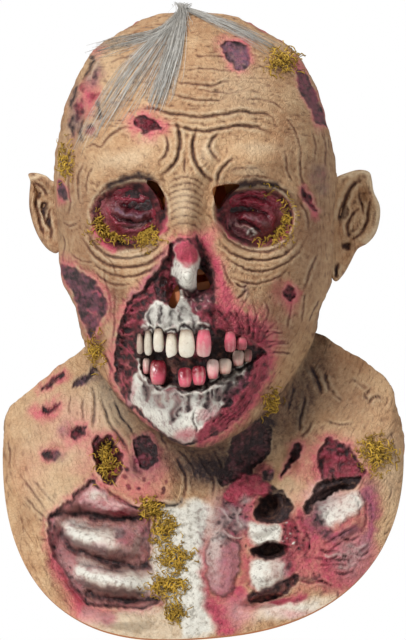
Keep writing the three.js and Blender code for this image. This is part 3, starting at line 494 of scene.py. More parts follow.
for width, depth, points in (
    (1.3, 1.3, [128,113, 142,110, 156,111, 168,114, 180,116, 192,118, 206,119, 222,116, 238,113, 252,114,
        264,115, 272,119, 277,128]),
    (1.4, 1.5, [163,125, 176,128, 190,131, 204,133, 218,131, 234,128, 250,128, 263,131, 273,135]),
    (1.0, 0.9, [168,95, 184,99, 198,102, 212,102, 228,100]),
    (1.1, 1.0, [174,83, 190,85, 204,87, 216,87, 224,84, 235,82]),
    (0.8, 0.5, [198,91, 214,94, 232,94, 248,91]), (0.8, 0.5, [188,70, 204,70, 220,72, 236,71]),
    (0.8, 0.45, [194,57, 212,57, 228,58]), (0.8, 0.5, [240,103, 255,100, 270,103, 286,110]),
    (1.0, 0.8, [100,148, 108,140, 118,132, 131,127]), (0.8, 0.5, [282,116, 292,127, 298,140, 301,154]),
    (0.8, 0.5, [84,150, 92,146, 101,148, 108,141]), (0.7, 0.4, [250,71, 262,68, 272,71]),
    (1.3, 1.3, [165,135, 168,146, 166,156, 158,166]),
    (1.6, 1.9, [175,120, 179,132, 180,148, 177,161, 169,171, 159,178]),
    (1.6, 1.9, [198,128, 194,140, 193,154, 197,166, 205,177, 215,184]),
    (1.3, 1.3, [221,134, 213,140, 210,149, 213,157, 220,163]),
    (1.4, 1.5, [235,159, 225,166, 219,174, 217,190]), (0.8, 0.5, [186,158, 184,168, 186,178]),
    (0.8, 0.5, [228,174, 238,169, 250,170, 262,168]), (0.9, 0.6, [242,178, 256,177, 272,180]),
    (1.2, 1.2, [86,226, 92,241, 104,253, 122,259, 140,257, 155,250, 167,238]),
    (1.2, 1.2, [82,236, 91,252, 107,264, 128,268, 148,264, 163,254, 172,244]),
    (1.1, 0.9, [90,262, 108,273, 130,277, 150,271, 162,262]), (1.0, 0.7, [96,274, 112,284, 132,285]),
    (1.2, 1.2, [218,226, 228,239, 243,249, 262,252, 280,247, 294,234]),
    (1.2, 1.2, [219,240, 230,252, 248,260, 268,260, 288,252, 302,236]),
    (1.1, 0.9, [223,254, 238,266, 258,272, 280,266, 298,252, 308,234]),
    (1.0, 0.7, [230,277, 250,284, 272,280, 290,268]), (1.0, 0.8, [298,200, 306,214, 309,232]),
    (1.0, 0.8, [86,160, 80,174, 78,190, 80,206]), (0.9, 0.7, [94,166, 88,180, 86,196]),
    (0.9, 0.7, [70,172, 68,188, 70,204, 66,216]), (0.9, 0.7, [62,222, 70,226, 80,222]),
    (1.0, 0.8, [302,146, 300,162, 301,178, 304,188]), (0.9, 0.6, [284,152, 286,168, 292,182]),
    (0.9, 0.6, [104,262, 106,282, 110,300, 112,320]), (1.3, 1.4, [104,352, 108,362, 114,375]),
    (0.9, 0.6, [114,290, 115,310, 114,330, 112,348]), (0.8, 0.5, [98,250, 112,262, 118,276]),
    (1.1, 1.1, [319,254, 312,266, 308,278, 304,290]), (0.9, 0.7, [306,292, 304,306, 302,322]),
    (0.9, 0.7, [318,300, 314,312, 310,322]), (1.0, 0.8, [292,300, 290,314, 286,330]),
    (1.0, 0.9, [250,343, 264,341, 278,342, 290,340]), (0.8, 0.6, [256,351, 268,350, 280,352]),
    (0.8, 0.6, [256,332, 270,331, 284,334]), (0.9, 0.8, [235,283, 241,288, 248,286]),
    (1.1, 1.0, [236,300, 241,296, 246,289]), (0.9, 0.6, [222,262, 228,276, 234,288]),
    (0.8, 0.5, [146,40, 160,36, 174,28]), (0.8, 0.5, [108,64, 122,58, 138,56]),
    (0.8, 0.5, [324,134, 326,150, 324,168]), (0.8, 0.5, [312,130, 316,146, 314,164]),
    (0.8, 0.5, [70,250, 76,258, 88,262, 96,262]), (0.8, 0.6, [264,300, 268,314, 264,330]),
    (0.8, 0.5, [252,302, 256,316, 252,326]), (0.8, 0.5, [60,232, 64,246, 62,258]),
):
    crease(face, width, depth, points)
for k, y in enumerate((180, 186, 192, 198, 204, 210, 217, 225)):
    lean = (2, 1, 0, 0, 1, 0, -1, -2)[k]
    crease(face, 0.8, 0.55, [(166 + lean, y + 7), (174, y + 1), (184 + lean, y - 1), (195, y + 1),
        (204 + lean, y + 8)], 0.55)

# Wounds of the head: openings pressed in the clay, red or purple inside, with a dark edge and a rosy halo.
patch(face, [136,124, 142,119, 150,121, 156,126, 162,129, 152,132, 145,135, 139,130], 1.2, -1.6, 0.7, 9,
    rim=0.7, raw=0.95, dark=0.45)
patch(face, [220,46, 228,41, 238,43, 247,50, 250,60, 246,69, 238,70, 230,62, 224,54], 1.4, -1.3, 0.6, 5,
    rim=0.45, purple=0.85, dark=0.15)
stroke(face, [220,46, 230,41, 240,44, 247,49], 1.5, -0.8, dark=0.9)
patch(face, [296,68, 304,72, 311,82, 318,96, 324,110, 327,124, 318,122, 311,112, 305,100, 300,86], 1.4, -1.5,
    0.6, 3, rim=0.5, purple=0.8, raw=0.5, dark=0.25)
patch(face, [60,181, 64,188, 66,200, 62,198, 59,190], 0.9, -1.5, 0.5, 3, rim=0.6, purple=0.8, dark=0.5)
patch(face, [302,187, 307,193, 314,205, 318,211, 312,209, 305,199], 0.9, -2.0, 0.8, 3, rim=0.6, raw=0.9,
    dark=0.6)
patch(face, [287,284, 292,285, 296,291, 294,298, 288,300, 284,294], 1.2, -2.6, 0.6, 4, rim=0.5, raw=0.6,
    dark=0.85)
patch(face, [60,263, 68,266, 78,271, 88,279, 99,290, 105,302, 107,314, 100,320, 95,328, 92,336, 86,327,
    80,312, 73,298, 65,280], 2.4, -1.8, 1.0, 7, rim=0.6, purple=0.85, raw=0.25, dark=0.4, brown=0.5)
for x, y, wide, high, amount in (
    (93, 98, 7, 8, 0.9), (79, 110, 5, 14, 0.85), (90, 131, 7, 7, 0.85), (84, 88, 5, 6, 0.7),
    (78, 300, 4, 10, 0.7), (88, 316, 4, 6, 0.7), (100, 306, 4, 8, 0.6),
):
    dab(face, x, y, wide, high, 10, -0.3, raw=amount)
for points, wide in (
    ([94,56, 88,66, 82,76], 2.6), ([97,74, 92,78], 2.6), ([78,84, 74,96, 70,108], 2.4),
    ([96,104, 102,114, 98,122], 2.2), ([72,112, 70,126, 74,138], 2.4), ([84,118, 80,130, 84,142], 2.0),
    ([72,276, 84,284, 92,290], 2.5), ([82,292, 88,304, 84,316], 2.5), ([98,290, 103,302, 103,314], 2.2),
    ([66,268, 74,282, 80,296], 2.0), ([150,200, 152,201], 1.0),
):
    stroke(face, points, wide, -0.9, dark=0.85)
for points in (
    [88,294, 96,292, 100,298], [86,308, 94,314, 96,324], [100,60, 92,70, 88,82], [104,118, 96,128, 90,140],
):
    stroke(face, points, 1.6, 0.7, pale=0.6, purple=0.35, dark=0.0)

# The eye sockets: torn openings, dark and red inside under a thick lid, with a pink lower rim and painted shade
# in brown round each socket.
patch(face, [93,209, 98,199, 112,191, 128,186, 142,185, 155,188, 163,197, 166,208, 165,220, 160,231, 150,240,
    135,247, 118,248, 104,240, 96,228, 92,215], 3.4, -3.2, 0.9, 6, halo_paint="brown", torn=0.3, raw=0.85,
    dark=0.66, purple=0.3)
patch(face, [218,199, 229,194, 245,191, 262,191, 277,194, 287,202, 292,213, 290,226, 281,239, 268,245,
    250,246, 236,240, 225,228, 216,216], 3.4, -3.2, 0.9, 6, halo_paint="brown", torn=0.3, raw=0.85,
    dark=0.66, purple=0.3)
# Painted shade in brown along the upper edge of each socket, under the brow, in a fold.
for points in (
    [94,204, 100,193, 113,185, 130,180, 148,180, 163,190],
    [215,196, 227,188, 246,184, 268,185, 285,193, 294,206],
):
    stroke(face, points, 3.6, -0.6, 0.1, brown=0.7, dark=0.2)
    crease(face, 1.2, 1.2, points, 0.6)
for points, wide in (
    ([95,224, 98,236, 107,245, 119,249], 4.0), ([289,218, 286,232, 276,242], 2.6),
    ([150,240, 161,230, 167,214], 2.2), ([224,228, 235,240, 250,246], 1.8),
):
    stroke(face, points, wide, 0.4, blush=0.95, raw=0.25)
# A painted shadow in dark just under each upper lid.
for points in ([104,190, 120,182, 140,178, 156,182], [222,188, 244,184, 266,185, 284,193]):
    stroke(face, points, 4.0, -0.8, dark=0.85)

# The nose and the lips are torn away. Under them the casting is dark red and purple, with the nasal bone bare,
# pink at its top, and gristle beside it.
patch(face, [176,239, 170,250, 163,262, 157,274, 149,284, 140,292, 132,301, 126,312, 120,326, 117,342,
    115,360, 117,380, 122,393, 129,403, 140,413, 150,422, 160,432, 172,441, 184,444, 196,442, 212,436,
    228,426, 242,410, 255,392, 264,376, 268,362, 264,352, 256,345, 244,338, 232,328, 222,322, 214,318,
    215,300, 213,284, 210,270, 205,258, 200,246, 196,237, 186,240], 1.4, -1.2, 1.3, 7, rim=0.7, raw=0.9,
    dark=0.62, purple=0.3)
stroke(face, [200,238, 209,251, 216,265, 221,281, 225,298, 229,314], 7.0, 0.4, 0.05, blush=0.9, raw=0.3)
# Painted shade in dark along the groove right of the nasal bone and in the gap under the torn skin at its left.
stroke(face, [198,240, 205,254, 211,268, 214,284, 215,300], 2.0, -1.2, 0.05, dark=0.85)
stroke(face, [174,242, 169,254, 163,265, 156,276, 148,286, 138,294], 2.4, -2.0, 0.05, dark=0.9, raw=0.6)
for points, wide in (
    ([169,246, 160,262, 153,273, 144,284, 134,294, 127,304], 2.6), ([158,270, 150,281, 140,289], 1.6),
):
    stroke(face, points, wide, 1.5, blush=0.55, purple=0.35, pale=0.3)
stroke(face, [176,256, 171,268, 167,280], 3.2, 1.0, 0.05, blush=1.0, dark=0.0, raw=0.2)
patch(face, [176,244, 184,241, 193,242, 198,252, 201,264, 202,274, 199,283, 193,290, 186,291, 180,287,
    176,279, 172,276, 173,262, 175,252], 1.3, 2.4, rim=0.4, bone=1.0, raw=0.0, purple=0.0, dark=0.0)
dab(face, 187, 252, 15, 18, -8, 0.0, 0.45, blush=1.0, raw=0.22, bone=0.0)
dab(face, 190, 278, 11, 12, -15, 1.6, 0.8, bone=1.0, blush=0.0, pale=0.5)
# The nostrils are painted dark round their holes, as shade in their hollows.
patch(face, [199,266, 207,270, 212,278, 209,288, 202,291, 198,285], 1.0, -3.0, rim=0.4, raw=0.7, dark=0.85)
patch(face, [172,284, 178,283, 181,290, 177,300, 171,304, 168,298, 170,290], 1.0, -2.4, 0.6, rim=0.5,
    raw=0.7, dark=0.8)
patch(face, [186,293, 196,287, 208,289, 215,298, 211,309, 200,312, 190,306], 1.8, 0.7, dark=0.72, purple=0.5,
    raw=0.2)
for x, y, turned in (
    (189, 296, 60), (194, 300, 30), (199, 292, 100), (203, 301, 20), (208, 295, 80), (197, 307, 45),
    (206, 307, 10), (211, 302, 60), (192, 304, 110), (201, 297, 150),
):
    dab(face, x, y, 3.2, 1.0, turned, 0.9, 0.8, pale=0.55, bone=0.5, dark=0.25)

# The upper jaw: grey-white bone, hollowed between the roots, each hollow darkened, partly washed with dark
# paint and partly painted shade.
patch(face, [145,334, 146,318, 150,306, 156,300, 164,302, 170,306, 178,301, 181,292, 185,295, 188,306,
    194,313, 200,318, 205,326, 208,335, 196,334, 184,332, 174,334, 160,332], 1.6, 1.3, bone=1.0, raw=0.0,
    purple=0.0, dark=0.0)
for x, y, wide, high, turned, amount in (
    (172, 313, 4.5, 8, 10, 0.75), (161, 315, 3.2, 8, 0, 0.55), (183, 319, 3.5, 8, -20, 0.6),
    (150, 320, 3.5, 9, 0, 0.7), (195, 325, 3.5, 6, -30, 0.6), (167, 326, 3, 5, 0, 0.45),
    (189, 311, 4, 6, -30, 0.7), (156, 306, 3, 4, 20, 0.4),
):
    dab(face, x, y, wide, high, turned, -1.3, 0.9, dark=amount)
for points in (
    [155,303, 156,316, 153,330], [166,305, 166,318, 165,329], [178,303, 178,314, 184,328],
    [186,300, 190,314, 199,327], [148,310, 146,322, 145,332],
):
    stroke(face, points, 2.0, 1.0, bone=1.0, dark=0.0, purple=0.1)
dab(face, 146, 326, 6, 12, 0, 0.0, 0.9, purple=0.6, bone=0.4)
dab(face, 204, 317, 10, 14, -10, 0.8, 0.9, raw=0.85, purple=0.45, dark=0.4, bone=0.0, blush=0.3)
for points in ([199,308, 203,318, 208,328], [207,306, 210,318, 213,330]):
    stroke(face, points, 1.4, 0.9, blush=0.8, dark=0.1)

# The whole upper jaw is made a darker grey, and each groove between the roots gets a soft stroke of painted
# shade with a dark line in its middle.
dab(face, 172, 317, 36, 20, 0, 0.0, 1.0, dark=0.32, brown=0.2)
for points in (
    [152,308, 150,320, 149,330], [160,304, 161,316, 160,328], [172,306, 171,318, 172,330],
    [183,304, 182,316, 186,328], [191,312, 194,322, 197,332],
):
    stroke(face, points, 3.2, dark=0.5)
    stroke(face, points, 1.6, -0.8, dark=0.9)

# Left of the teeth the flesh hangs in dark shreds; right of them the lip is drawn up in red folds.
for x, y, size in (
    (128, 322, 3.4), (130, 330, 3.6), (123, 338, 3.4), (134, 312, 3.4), (131, 347, 3.6), (124, 356, 3.6),
    (137, 328, 2.8), (128, 372, 5.4), (133, 363, 4.4), (123, 386, 4.4), (130, 393, 4.0), (139, 318, 3.4),
    (121, 366, 3.4), (141, 306, 3.6), (126, 348, 2.8), (136, 341, 2.6), (120, 350, 2.6), (127, 312, 2.6),
):
    dab(face, x, y, size, 0.75 * size, 20 + 17 * size, -1.6, 0.7, dark=0.97)
for points in (
    [124,327, 131,324, 137,322], [127,343, 134,350, 141,353], [120,345, 130,352, 138,358],
    [126,317, 132,308, 139,303], [118,360, 127,363, 132,369], [121,377, 129,381, 135,378],
    [121,333, 128,336, 135,334], [134,300, 142,300, 149,296], [130,316, 137,313, 142,311],
    [124,392, 128,400, 134,403], [133,368, 134,378, 132,388], [119,372, 121,382, 126,390],
):
    stroke(face, points, 1.35, 1.7, blush=0.75, raw=0.5, purple=0.3, dark=0.0)
patch(face, [213,308, 230,311, 246,316, 260,322, 268,334, 268,349, 254,344, 238,336, 224,328, 213,323], 4.0,
    0.9, 0.3, 11, raw=0.8, blush=0.75, dark=0.12)
for points in (
    [238,332, 226,320, 216,308, 212,298], [246,336, 240,322, 234,308], [254,340, 254,326, 258,312],
    [260,344, 266,332, 276,322], [264,349, 276,344, 290,343], [232,328, 222,318, 213,312],
    [242,334, 236,320, 226,308], [250,338, 248,324, 248,310], [257,342, 261,328, 268,316],
    [266,353, 278,352, 292,354], [262,340, 270,334, 284,332],
):
    crease(face, 0.9, 0.9, points, 0.8)
stroke(face, [216,324, 228,330, 240,337, 252,344, 262,350], 2.2, 1.4, 0.05, raw=0.9, blush=0.6, dark=0.15)

# The mouth stands open, painted dark behind the teeth as shade in the opening, with a ridge of bare bone round
# the lower roots.
patch(face, [136,346, 146,352, 158,352, 170,354, 184,354, 200,354, 211,348, 213,334, 217,328, 226,331,
    238,338, 250,345, 262,351, 256,361, 246,367, 232,374, 218,380, 206,386, 192,389, 178,388, 164,386,
    153,381, 145,374, 140,362], 1.6, -4.5, rim=0.2, raw=0.6, dark=0.95, purple=0.0, bone=0.0, blush=0.0)
dab(face, 196, 360, 30, 6, 0, 0.0, 0.9, raw=0.95, dark=0.7)
dab(face, 171, 372, 9, 10, 0, 0.0, 0.9, raw=0.8, dark=0.75)
patch(face, [138,366, 140,378, 149,387, 166,392, 180,390, 196,391, 210,385, 226,376, 243,367, 249,372,
    240,382, 234,392, 226,402, 214,411, 204,423, 198,435, 187,442, 173,440, 160,431, 148,419, 138,407,
    131,397, 134,384], 1.8, 1.6, bone=1.0, raw=0.0, purple=0.0, dark=0.0)
for points in (
    [140,358, 140,372, 146,382, 154,387, 165,388, 178,386],
    [188,391, 198,388, 210,382, 222,376, 232,370, 246,362],
):
    stroke(face, points, 1.8, 2.2, 0, bone=1.0, dark=0.0, raw=0.0, pale=0.6)
# The lower jaw is made a darker grey, and each groove between its roots gets a soft stroke of painted shade
# with a dark line in its middle.
dab(face, 196, 398, 42, 12, -10, 0.0, 0.9, dark=0.35, purple=0.2)
dab(face, 230, 388, 20, 14, -40, 0.0, 0.9, dark=0.62, purple=0.7, raw=0.3)
dab(face, 148, 392, 10, 12, 0, 0.0, 0.9, purple=0.3, dark=0.15)
for points, wide, deep in (
    ([143,383, 147,392, 146,402], 3.6, 1.6), ([154,389, 160,398, 163,408], 3.6, 1.6),
    ([174,390, 177,401, 174,411, 176,422], 3.8, 1.7), ([191,394, 189,404, 190,414], 2.8, 1.2),
    ([205,391, 208,400, 205,408], 3.2, 1.2), ([218,386, 220,394, 216,402], 3.0, 1.2),
    ([231,380, 229,390, 223,400], 4.0, 1.4), ([167,391, 168,399], 2.2, 0.9), ([183,392, 182,400], 2.4, 0.9),
    ([181,406, 181,416], 1.8, 0.7), ([198,392, 199,400], 2.0, 0.8), ([212,388, 213,396], 2.0, 0.8),
    ([240,372, 237,382], 2.4, 0.9),
):
    stroke(face, points, 1.9 * wide, dark=0.55, purple=0.1)
    stroke(face, points, wide, -deep, dark=0.97, bone=0.5)
dab(face, 133, 394, 7, 18, 8, 0.0, 0.9, blush=0.95, purple=0.3, bone=0.5)
dab(face, 187, 434, 26, 11, -18, 0.4, 0.9, blush=1.0, raw=0.3, bone=0.3)
dab(face, 208, 412, 14, 12, -40, 0.0, 0.9, blush=0.9, purple=0.35, bone=0.4)
patch(face, [247,366, 257,356, 257,370, 248,384, 238,396, 229,405, 222,400, 231,388, 239,377], 2.4, -0.8,
    purple=0.8, dark=0.7, raw=0.5, bone=0.0)
patch(face, [258,356, 267,355, 269,366, 264,378, 257,391, 249,404, 241,413, 228,425, 212,435, 200,443,
    196,438, 203,425, 214,415, 228,405, 238,393, 247,380, 254,367], 2.6, 1.9, 0.2, 6, raw=0.7, blush=0.9,
    bone=0.0, purple=0.15, dark=0.05)
for shift in (-4.6, -2.0, 0.6, 3.2, 5.6):
    crease(face, 0.9, 1.0, [(262 + shift, 360), (260 + shift, 376), (252 + shift, 391),
        (240 + shift, 407 + 0.5 * shift), (222 + shift, 421 + shift), (203 + shift, 436 + shift)], 0.75)
for points in (
    [206,420, 216,411, 228,408, 236,400], [196,436, 204,424, 212,420], [250,386, 256,374, 262,362],
):
    stroke(face, points, 1.8, 1.4, blush=0.9, pale=0.5, dark=0.0)
crease(face, 1.0, 1.2, [198,408, 193,418, 197,428, 196,438], 0.8)
# A dark line runs round each tooth where it meets the gum, partly washed with dark paint and partly painted
# shade, with a raised ridge of bone just outside it.
for k, (x, y, wide, deep) in enumerate((
    (140.5, 333, 3.2, 1), (148.8, 331, 4.2, 1), (159, 329, 5.2, 1), (172, 333, 5.6, 1),
    (186.8, 329.5, 7.6, 1), (203.6, 330, 7.4, 1), (147, 374, 3.8, -1), (158.5, 386, 8.2, -1),
    (185, 388, 7.2, -1), (199, 386, 7.2, -1), (212.6, 380, 6.4, -1), (225, 375, 6.4, -1), (238, 367, 6.0, -1),
)):
    arch = [
        (x - wide - 0.8, y + 9 * deep), (x - 0.75 * wide, y - 0.5 * deep), (x, y - 3.4 * deep),
        (x + 0.75 * wide, y - 0.5 * deep), (x + wide + 0.8, y + 9 * deep),
    ]
    stroke(face, [(px, py - 3.6 * deep) for px, py in arch[1:4]], 1.5, 1.3, bone=0.9, dark=0.0)
    stroke(face, arch, 1.5, -1.5, 0.05, dark=0.97, raw=0.5)

# Ears: the folds of each are drawn in the same view, outside the head's own outline.
for width, depth, points in (
    (1.6, 1.6, [44,200, 40,208, 43,218, 47,226]), (1.4, 1.2, [36,190, 34,200, 36,210, 38,222, 42,234]),
    (1.2, 1.0, [32,182, 40,186, 46,194]), (1.4, 1.2, [49,206, 47,216, 49,228, 50,240]),
    (1.8, 2.0, [366,176, 356,181, 350,190, 346,200, 342,212, 341,224]),
    (1.4, 1.4, [360,208, 353,216, 349,226, 352,236]),
    (1.4, 1.2, [372,196, 370,210, 368,222, 362,234, 352,240]), (1.0, 0.8, [360,192, 364,204, 366,214]),
    (1.4, 1.4, [340,262, 338,270, 337,278]),
):
    crease(face, width, depth, points)
# The hollows of each ear are darkened, partly as painted shade, and its rolled rim is raised and paler.
for x, y, wide, high, turned, deep, dark in (
    (39, 195, 3.6, 5, 20, -1.6, 0.3), (43, 208, 5, 9, 10, -2.4, 0.75), (47, 219, 4, 9, 0, -2.2, 0.7),
    (346, 212, 5, 12, 10, -2.2, 0.75), (348, 245, 7, 5, 0, -2.2, 0.6), (362, 196, 7, 9, 0, -1.0, 0.2),
    (338, 271, 4, 7, 0, -1.8, 0.8), (355, 232, 8, 5, -30, -1.0, 0.3),
):
    dab(face, x, y, wide, high, turned, deep, dark=dark)
for points in (
    [28,176, 38,174, 50,180], [344,175, 356,171, 370,172, 374,184, 380,200, 380,216, 376,230, 366,240],
):
    stroke(face, points, 3.0, 1.6, 0, pale=0.55, dark=0.0)

# The bib: pale tan over the shoulders, palest on the left one, partly as painted light; brown on the right of
# the neck and dark brown in the hollow under the chin, as painted shade; opened over ribs and breastbone, whose
# bone is painted white, pink and purple.
airbrushed_paint_and_shade(
    chest,
    pale=[70,430,80,80,0,0.6, 105,405,40,40,0,0.7, 60,500,50,40,0,0.4, 350,420,60,60,0,0.12,
        392,470,20,60,0,0.35, 290,488,22,22,0,0.35, 330,600,30,16,0,0.5, 40,440,30,60,0,0.3],
    brown=[290,380,40,70,0,0.85, 330,380,50,50,0,0.55, 160,415,22,34,30,0.4, 210,465,60,45,0,1.0,
        168,440,16,26,-35,0.8, 100,380,20,30,0,0.2, 275,400,22,40,-30,0.9, 340,395,60,24,20,0.4,
        24,520,16,50,10,0.3, 12,455,10,20,0,0.25],
    dark=[210,470,46,34,0,0.55, 262,420,22,26,-40,0.55, 168,425,12,26,-40,0.4],
    blush=[300,540,75,62,-10,0.75, 345,560,46,48,-20,0.85, 340,510,50,40,0,0.55, 236,520,30,50,0,0.65,
        120,470,60,30,10,0.35, 220,610,30,30,0,0.7, 330,450,40,30,0,0.35, 80,600,30,24,30,0.6,
        70,420,50,40,0,0.25, 148,468,40,36,10,0.5, 58,560,16,40,-12,0.85, 88,612,30,16,30,0.9,
        248,500,30,40,0,0.7, 262,606,34,12,0,0.6, 60,378,18,10,-30,0.7, 40,414,20,12,0,0.75,
        70,436,22,14,20,0.6, 56,448,22,12,0,0.45, 90,450,34,40,0,0.2, 110,455,18,34,0,0.55,
        148,448,18,22,0,0.6, 140,490,44,20,10,0.55, 300,452,18,20,0,0.5, 318,470,16,36,0,0.65,
        366,510,18,50,10,0.5, 340,570,44,30,-10,0.75, 205,560,14,70,4,0.7, 236,600,18,34,0,0.8,
        100,440,30,20,0,0.3, 30,470,30,40,0,0.12, 300,560,26,40,0,0.6],
    purple=[232,500,24,30,0,0.45, 325,512,30,26,-20,0.5, 146,466,30,28,0,0.35, 225,520,30,30,0,0.5,
        62,430,12,10,0,0.45, 58,455,12,10,0,0.55, 85,380,18,9,-20,0.6, 134,468,14,20,0,0.5,
        372,490,16,26,0,0.4],
    raw=[90,610,20,9,30,0.6, 290,555,62,50,0,0.45, 226,616,26,24,20,0.4, 300,532,24,30,0,0.4,
        330,545,40,24,-20,0.35, 352,572,34,26,-30,0.5, 206,598,12,34,0,0.4, 300,550,40,30,0,0.3,
        330,586,30,10,-10,0.3],
)

for width, depth, points in (
    (1.4, 1.3, [92,386, 94,402, 93,418, 92,432]), (1.4, 1.3, [101,396, 104,412, 112,428, 122,442, 129,456]),
    (1.1, 0.9, [84,396, 82,410, 84,424]), (1.1, 0.9, [112,396, 118,412, 128,426, 136,438]),
    (1.0, 0.8, [70,396, 68,408, 72,416]), (1.2, 1.2, [306,392, 304,408, 300,424, 302,436]),
    (1.2, 1.0, [314,420, 308,430, 302,438]), (1.8, 1.8, [310,364, 315,374, 320,385, 323,397]),
    (1.4, 1.3, [326,372, 328,384, 332,392]), (1.0, 0.8, [332,386, 336,396, 344,402]),
    (1.2, 1.0, [294,384, 292,400, 288,414]), (1.0, 0.8, [352,379, 362,385, 370,390]),
    (1.2, 1.1, [370,406, 375,398, 385,398]), (1.0, 0.8, [374,388, 366,396, 372,402]),
    (1.0, 0.8, [22,480, 34,494, 46,510]), (1.0, 0.8, [24,496, 36,510, 48,520]),
    (0.9, 0.6, [30,478, 44,492, 56,506]), (0.9, 0.7, [36,520, 48,520, 58,516]),
    (0.9, 0.7, [38,540, 50,540, 58,537]), (0.9, 0.6, [46,562, 54,560]),
    (1.3, 1.2, [172,455, 182,468, 186,484, 184,498]), (1.1, 0.9, [196,452, 206,468, 214,484, 212,500]),
    (1.1, 0.9, [212,448, 220,462, 222,478]), (1.1, 0.9, [178,450, 192,466, 198,484]),
    (1.0, 0.7, [150,420, 160,434, 168,450]), (0.8, 0.5, [386,478, 392,490, 388,502]),
    (0.8, 0.5, [392,430, 396,450, 398,470]), (0.9, 0.7, [325,420, 340,425, 356,424]),
    (0.8, 0.5, [6,440, 9,452, 8,466]),
):
    crease(chest, width, depth, points)

for outline, deep, lip, halo, colours in (
    ([37,390, 46,383, 54,376, 61,372, 63,376, 52,382, 44,388], -1.6, 0.6, 5, dict(raw=0.9, dark=0.75)),
    ([72,388, 76,380, 86,374, 96,367, 99,364, 94,372, 86,380, 78,388], -1.4, 0.5, 0,
        dict(purple=0.9, dark=0.6)),
    ([40,407, 46,410, 52,408, 57,403, 56,409, 49,413, 42,412], -1.7, 0.6, 6, dict(raw=0.8, dark=0.8)),
    ([71,436, 75,430, 82,427, 84,430, 80,438, 75,441], -1.5, 0.5, 7, dict(raw=0.8, purple=0.5, dark=0.55)),
    ([43,459, 46,453, 50,452, 52,457, 47,460], -1.5, 0.5, 5, dict(raw=0.6, dark=0.85)),
    ([52,452, 58,450, 61,454, 57,459, 52,458], -0.8, 0.4, 0, dict(purple=0.8, dark=0.2)),
    ([93,446, 97,439, 103,440, 109,437, 115,443, 119,452, 122,463, 120,475, 112,483, 104,482, 98,474,
        94,462], -2.6, 1.2, 6, dict(raw=0.9, dark=0.65)),
    ([134,440, 143,436, 152,441, 157,452, 154,463, 147,469, 140,464, 136,452], -2.2, 0.9, 5,
        dict(raw=0.7, purple=0.6, dark=0.5)),
    ([230,442, 242,427, 254,419, 264,424, 271,436, 269,450, 259,463, 248,471, 236,479, 223,485, 221,475,
        227,459], -1.6, 0.8, 0, dict(purple=0.75, raw=0.6, dark=0.4, brown=0.0)),
    ([299,444, 294,451, 288,461, 283,474, 290,468, 296,458, 301,450], -3.2, 0.9, 4, dict(raw=0.6, dark=0.85)),
    ([321,449, 330,439, 340,444, 351,450, 359,462, 368,471, 366,477, 356,481, 342,482, 329,486, 321,478,
        317,466], -1.5, 1.2, 5, dict(raw=0.8, blush=0.7, purple=0.35, dark=0.15)),
    ([312,494, 319,486, 330,480, 345,479, 361,478, 355,486, 340,492, 327,499, 314,505, 307,513, 303,508],
        -4.5, 0.8, 0, dict(dark=0.98, raw=0.3, blush=0.0, purple=0.0, bone=0.0)),
    ([255,512, 260,502, 268,495, 280,496, 290,500, 293,510, 288,520, 278,523, 266,523, 258,519], -4.5, 1.2,
        0, dict(dark=0.95, raw=0.4, blush=0.0)),
    ([250,549, 258,545, 268,543, 280,542, 288,546, 284,554, 272,559, 260,558, 253,555], -3.6, 0.9, 0,
        dict(dark=0.92, raw=0.4, blush=0.0)),
    ([245,597, 256,588, 270,584, 285,578, 298,573, 298,583, 284,593, 270,600, 257,602], -2.8, 0.7, 0,
        dict(dark=0.7, raw=0.7, blush=0.0)),
):
    patch(chest, outline, 1.4, deep, lip, halo, rim=0.6, **colours)

for x, y, wide, high, turned, colours in (
    (232, 518, 26, 36, 0, dict(purple=0.7, raw=0.35, dark=0.15)),
    (320, 516, 20, 32, 20, dict(purple=0.75, raw=0.35, dark=0.25)),
    (346, 562, 42, 30, -25, dict(raw=0.6, blush=0.8)), (262, 470, 16, 12, 0, dict(raw=0.5, blush=0.6)),
):
    dab(chest, x, y, wide, high, turned, 0.5, 1.0, **colours)

# The torn window at the left, in which three ribs cross, with dark gaps between them, partly painted shade, and
# a frayed edge.
rib_window = [
    49,521, 58,513, 66,503, 76,497, 82,489, 88,485, 96,485, 101,491, 107,497, 118,501, 131,506, 143,508,
    150,520, 150,540, 150,560, 156,578, 162,596, 152,606, 130,608, 108,606, 92,606, 82,600, 74,588, 65,574,
    57,560, 51,545,
]
patch(chest, rib_window, 1.5, -2.4, 1.8, 5, rim=0.85, raw=0.5, blush=0.5, dark=0.22, bone=0.15, pale=0.0)
patch(chest, [80,499, 90,488, 98,488, 106,495, 120,502, 129,509, 128,516, 110,515, 92,513, 80,508], 1.6, 1.8,
    blush=1.0, raw=0.4, dark=0.0, bone=0.35)
dab(chest, 94, 496, 12, 8, 10, 0.3, 0.9, bone=0.8, blush=0.5, raw=0.0)
stroke(chest, [80,506, 96,507, 112,511, 130,517], 3.6, 0.6, 0.1, blush=0.7, raw=0.95, bone=0.0)
stroke(chest, [88,492, 104,499, 124,508], 2.0, 0.5, blush=0.4, bone=0.7, raw=0.0)
for points, wide in (
    ([50,522, 62,514, 76,513, 95,516, 115,519, 136,520, 146,516], 3.2),
    ([60,532, 67,543, 80,552, 98,559, 120,564, 140,566, 156,556], 4.2),
    ([84,590, 96,597, 115,600, 140,600, 160,598], 3.4),
):
    stroke(chest, points, wide, -3.0, 0.05, dark=0.95, raw=0.5)
for points, wide in (
    ([62,525, 80,533, 98,539, 116,541, 142,541], 9.5), ([70,566, 92,575, 116,580, 140,582, 158,580], 10.0),
):
    stroke(chest, points, wide, 3.0, 0.1, bone=1.0, raw=0.0, blush=0.1, dark=0.0, pale=0.4)
